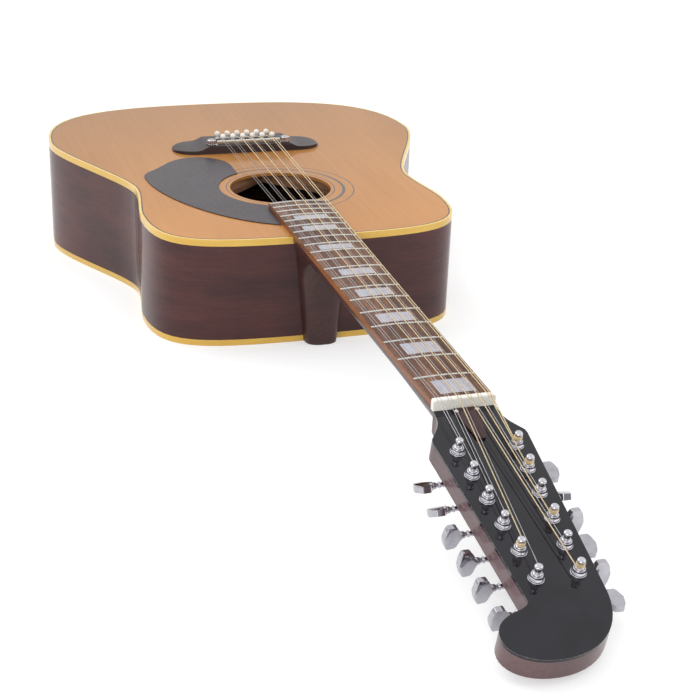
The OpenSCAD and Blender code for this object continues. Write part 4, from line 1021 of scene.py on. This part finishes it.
class GUITAR_OT_strings(bpy.types.Operator):
    """Makes the strings from the bridge pins over the saddle and nut to the posts"""

    bl_idname = "guitar.strings"
    bl_label = "Strings"

    def execute(self, context):
        plain = metal("string_steel", (0.60, 0.59, 0.60), 0.2)
        bronze = winding(looks())
        unwound = [k for k in STRINGS if k not in WOUND]
        for node, material, slot, members in (
                ("plain_strings", plain, "plain_steel_string", unwound),
                ("wound_strings", bronze, "bronze_winding", WOUND)):
            routes = [string_route(k) for k in members]
            thick = [string_sizes(k, len(route)) for k, route in zip(members, routes)]
            mesh = run_tree(sweep_tree(), line_mesh(routes, thick), Material=material, Sides=10,
                            Width=1.0, Height=1.0)
            run = mesh.attributes.new("run", "FLOAT_VECTOR", "POINT")
            for k, item in enumerate(mesh.attributes["reach"].data):
                run.data[k].vector = (item.value, 0, 0)
            show(node + "_round", mesh, material, nodes=(node,))
        return {"FINISHED"}


def string_radius(k):
    return (0.86 if k in WOUND else 0.38) / 2


def string_sizes(k, count):
    return [1.5 * MM] * 2 + [string_radius(k) * MM] * (count - 2)


def string_route(k):
    """Points of one string in metres, from its ball under the bridge plate to its last turn."""
    r = string_radius(k)
    pin_x, pin_y = pin_place(k)
    pin = Vector((pin_x, pin_y - 1.8, BRIDGE_H + 0.6))
    foot = Vector((pin.x, pin.y, -6.2))
    saddle = Vector((course(k) * BRIDGE_COURSE + pair_side(k) * 1.5, SADDLE_Y, SADDLE_TOP + r + 0.05))
    nut_x = course(k) * NUT_COURSE + pair_side(k) * 1.1
    rise = crown(nut_x) + NUT_CLEAR + r
    low = [GUITAR @ p for p in (foot - Vector((0, 0, 3)), foot - Vector((0, 0, 0.3)), foot)]
    bend = [GUITAR @ (pin + Vector(step))
            for step in ((0, 0, -1.2), (0, -0.25, -0.4), (0, -0.9, 0.35))]
    run = [GUITAR @ saddle, NECK @ Vector((nut_x, 0, rise)), NECK @ Vector((nut_x, -NUT_T, rise))]
    return low + bend + run + winding_route(k, nut_x, r)


def winding_route(k, nut_x, r, waist=2.25, lowest=6):
    """Points of the turns that string k makes on its post, from where it first touches."""
    i = STRING_TUNER[k]
    side = -1 if i <= 6 else 1
    slot = (i - 1) % 6
    wide, narrow = POST_SIDES
    post = Vector((side * (wide - (wide - narrow) * slot / 5), -POST_FIRST - slot * POST_PITCH))
    reach = waist + r
    way = Vector((post.x - nut_x, post.y + NUT_T))
    first = math.atan2(way.y, way.x) - side * (math.asin(reach / way.length) + math.pi / 2)
    points, steps = [], 24
    turns = sizes().wind_turns
    for j in range(int(turns * steps) + 1):
        a = first + side * 2 * math.pi * j / steps
        z = lowest + r + 2 * r * 1.06 * j / steps
        points.append(HEAD @ Vector((post.x + reach * math.cos(a), post.y + reach * math.sin(a), z)))
    return points


class GUITAR_OT_fittings(bpy.types.Operator):
    """Makes the pickguard and the end pin"""

    bl_idname = "guitar.fittings"
    bl_label = "Pickguard and end pin"

    def execute(self, context):
        guard = moulded("pickguard_plastic", (0.034, 0.024, 0.031), (0.044, 0.032, 0.041), 0.34, 24,
                        shine=0.4)
        rounded_piece("pickguard", guard, 0.4, 3, 40)
        ivory = moulded("end_pin_ivory", (0.80, 0.74, 0.60), (0.86, 0.80, 0.68), 0.18, 60)
        rounded_piece("end_pin", ivory, 0.3, 2, 40)
        return {"FINISHED"}


class GUITAR_OT_stage(bpy.types.Operator):
    """Sets the pale floor, the soft lamps and the camera"""

    bl_idname = "guitar.stage"
    bl_label = "Stage"

    def execute(self, context):
        scene = context.scene
        scene.view_settings.view_transform = "Standard"
        floor = bpy.data.objects.new("floor", mesh_from("floor", [
            (-30, -30, 0), (30, -30, 0), (30, 30, 0), (-30, 30, 0)], [(0, 1, 2, 3)]))
        scene.collection.objects.link(floor)
        floor.data.materials.append(floor_material())
        world = bpy.data.worlds.new("studio")
        scene.world = world
        world.use_nodes = True
        sky = Graph(world.node_tree)
        way = sky.node("ShaderNodeTexCoord")
        high = sky.node("ShaderNodeVectorMath", {"operation": "DOT_PRODUCT"},
                        {0: way, 1: (0, 0.45, 0.9)}, out=1)
        strength = sky.node("ShaderNodeMapRange", {"interpolation_type": "SMOOTHSTEP"}, {
            "Value": high, "From Min": -0.35, "From Max": 0.75, "To Min": 0.42, "To Max": 1.02})
        soft = world.node_tree.nodes["Background"]
        soft.inputs["Color"].default_value = (1, 1, 1, 1)
        world.node_tree.links.new(strength.socket, soft.inputs["Strength"])
        for name, place, size, power in (
                ("key", (-1.4, 1.2, 2.4), (1.8, 1.8), 15),
                ("fill", (1.8, -0.9, 1.5), (1.2, 1.2), 4),
                ("front", (-1.1, -2.0, 0.9), (1.4, 1.0), 15)):
            lamp = bpy.data.lights.new(name, "AREA")
            lamp.shape, lamp.size, lamp.size_y, lamp.energy = "RECTANGLE", *size, power
            holder = bpy.data.objects.new(name, lamp)
            holder.location = place
            holder.rotation_euler = Vector(place).to_track_quat("Z", "Y").to_euler()
            scene.collection.objects.link(holder)
        camera = bpy.data.objects.new("camera", bpy.data.cameras.new("camera"))
        camera.data.lens, camera.data.sensor_width = 73.40, 36
        camera.matrix_world = camera_matrix()
        scene.collection.objects.link(camera)
        scene.camera = camera
        return {"FINISHED"}


def camera_matrix():
    """The camera as it stands by the guitar's headstock, in the guitar's frame."""
    spot = GUITAR @ Vector((-358.572, -836.126, 430.978))
    angles = Euler([math.radians(a) for a in (66.2874, -1.9906, -17.2833)])
    lean = (GUITAR @ Matrix.Scale(1 / MM, 4)).to_3x3()
    return Matrix.Translation(spot) @ (lean @ angles.to_matrix()).to_4x4()


def plain_rays(graph):
    """1 for the rays that see the background plain: from the camera, in gloss and through glass."""
    path = graph.node("ShaderNodeLightPath")
    seen = path
    for kind in ("Is Glossy Ray", "Is Transmission Ray"):
        seen = seen + Field(graph, path.socket.node.outputs[kind])
    return seen.math("MINIMUM", 1.0)


def floor_material():
    """White floor that shows plain white, and keeps the object's shadow."""
    f = Finish("floor_white", Roughness=0.9, Specular_IOR_Level=0.0)
    grain = f.noise(f.place((2, 2, 2)), 1, 1)
    f.set(Base_Color=f.mix((0.66, 0.66, 0.66), (0.68, 0.68, 0.68), grain))
    dark = f.node("ShaderNodeEmission", None, {"Color": (0, 0, 0, 1), "Strength": 0.0})
    glow = f.node("ShaderNodeEmission", None, {"Color": (1, 1, 1, 1), "Strength": 0.46})
    shown = f.node("ShaderNodeMixShader", None, {0: plain_rays(f), 1: dark, 2: glow})
    total = f.node("ShaderNodeAddShader", None, {0: shown})
    f.tree.links.new(f.shader.outputs[0], total.socket.node.inputs[1])
    end = next(n for n in f.tree.nodes if n.type == "OUTPUT_MATERIAL")
    f.tree.links.new(total.socket, end.inputs[0])
    return f.material


class GUITAR_PT_panel(bpy.types.Panel):
    """Lists the guitar's groups"""

    bl_label = "Guitar"
    bl_idname = "GUITAR_PT_panel"
    bl_space_type = "VIEW_3D"
    bl_region_type = "UI"
    bl_category = "Guitar"

    def draw(self, context):
        for operator in OPERATORS:
            self.layout.operator(operator.bl_idname)
        for group in (context.scene.guitar_looks, context.scene.guitar_sizes):
            for key in group.__annotations__:
                self.layout.prop(group, key)


OPERATORS = (GUITAR_OT_soundboard, GUITAR_OT_body, GUITAR_OT_bridge, GUITAR_OT_neck,
             GUITAR_OT_fingerboard, GUITAR_OT_tuners, GUITAR_OT_strings, GUITAR_OT_fittings,
             GUITAR_OT_stage)
CLASSES = (GuitarLooks, GuitarSizes, *OPERATORS, GUITAR_PT_panel)


def register():
    for cls in CLASSES:
        bpy.utils.register_class(cls)
    bpy.types.Scene.guitar_looks = bpy.props.PointerProperty(type=GuitarLooks)
    bpy.types.Scene.guitar_sizes = bpy.props.PointerProperty(type=GuitarSizes)


def unregister():
    del bpy.types.Scene.guitar_looks, bpy.types.Scene.guitar_sizes
    for cls in reversed(CLASSES):
        bpy.utils.unregister_class(cls)


def main():
    register()
    for operator in OPERATORS:
        group, name = operator.bl_idname.split(".")
        getattr(getattr(bpy.ops, group), name)()


if __name__ == "__main__":
    main()
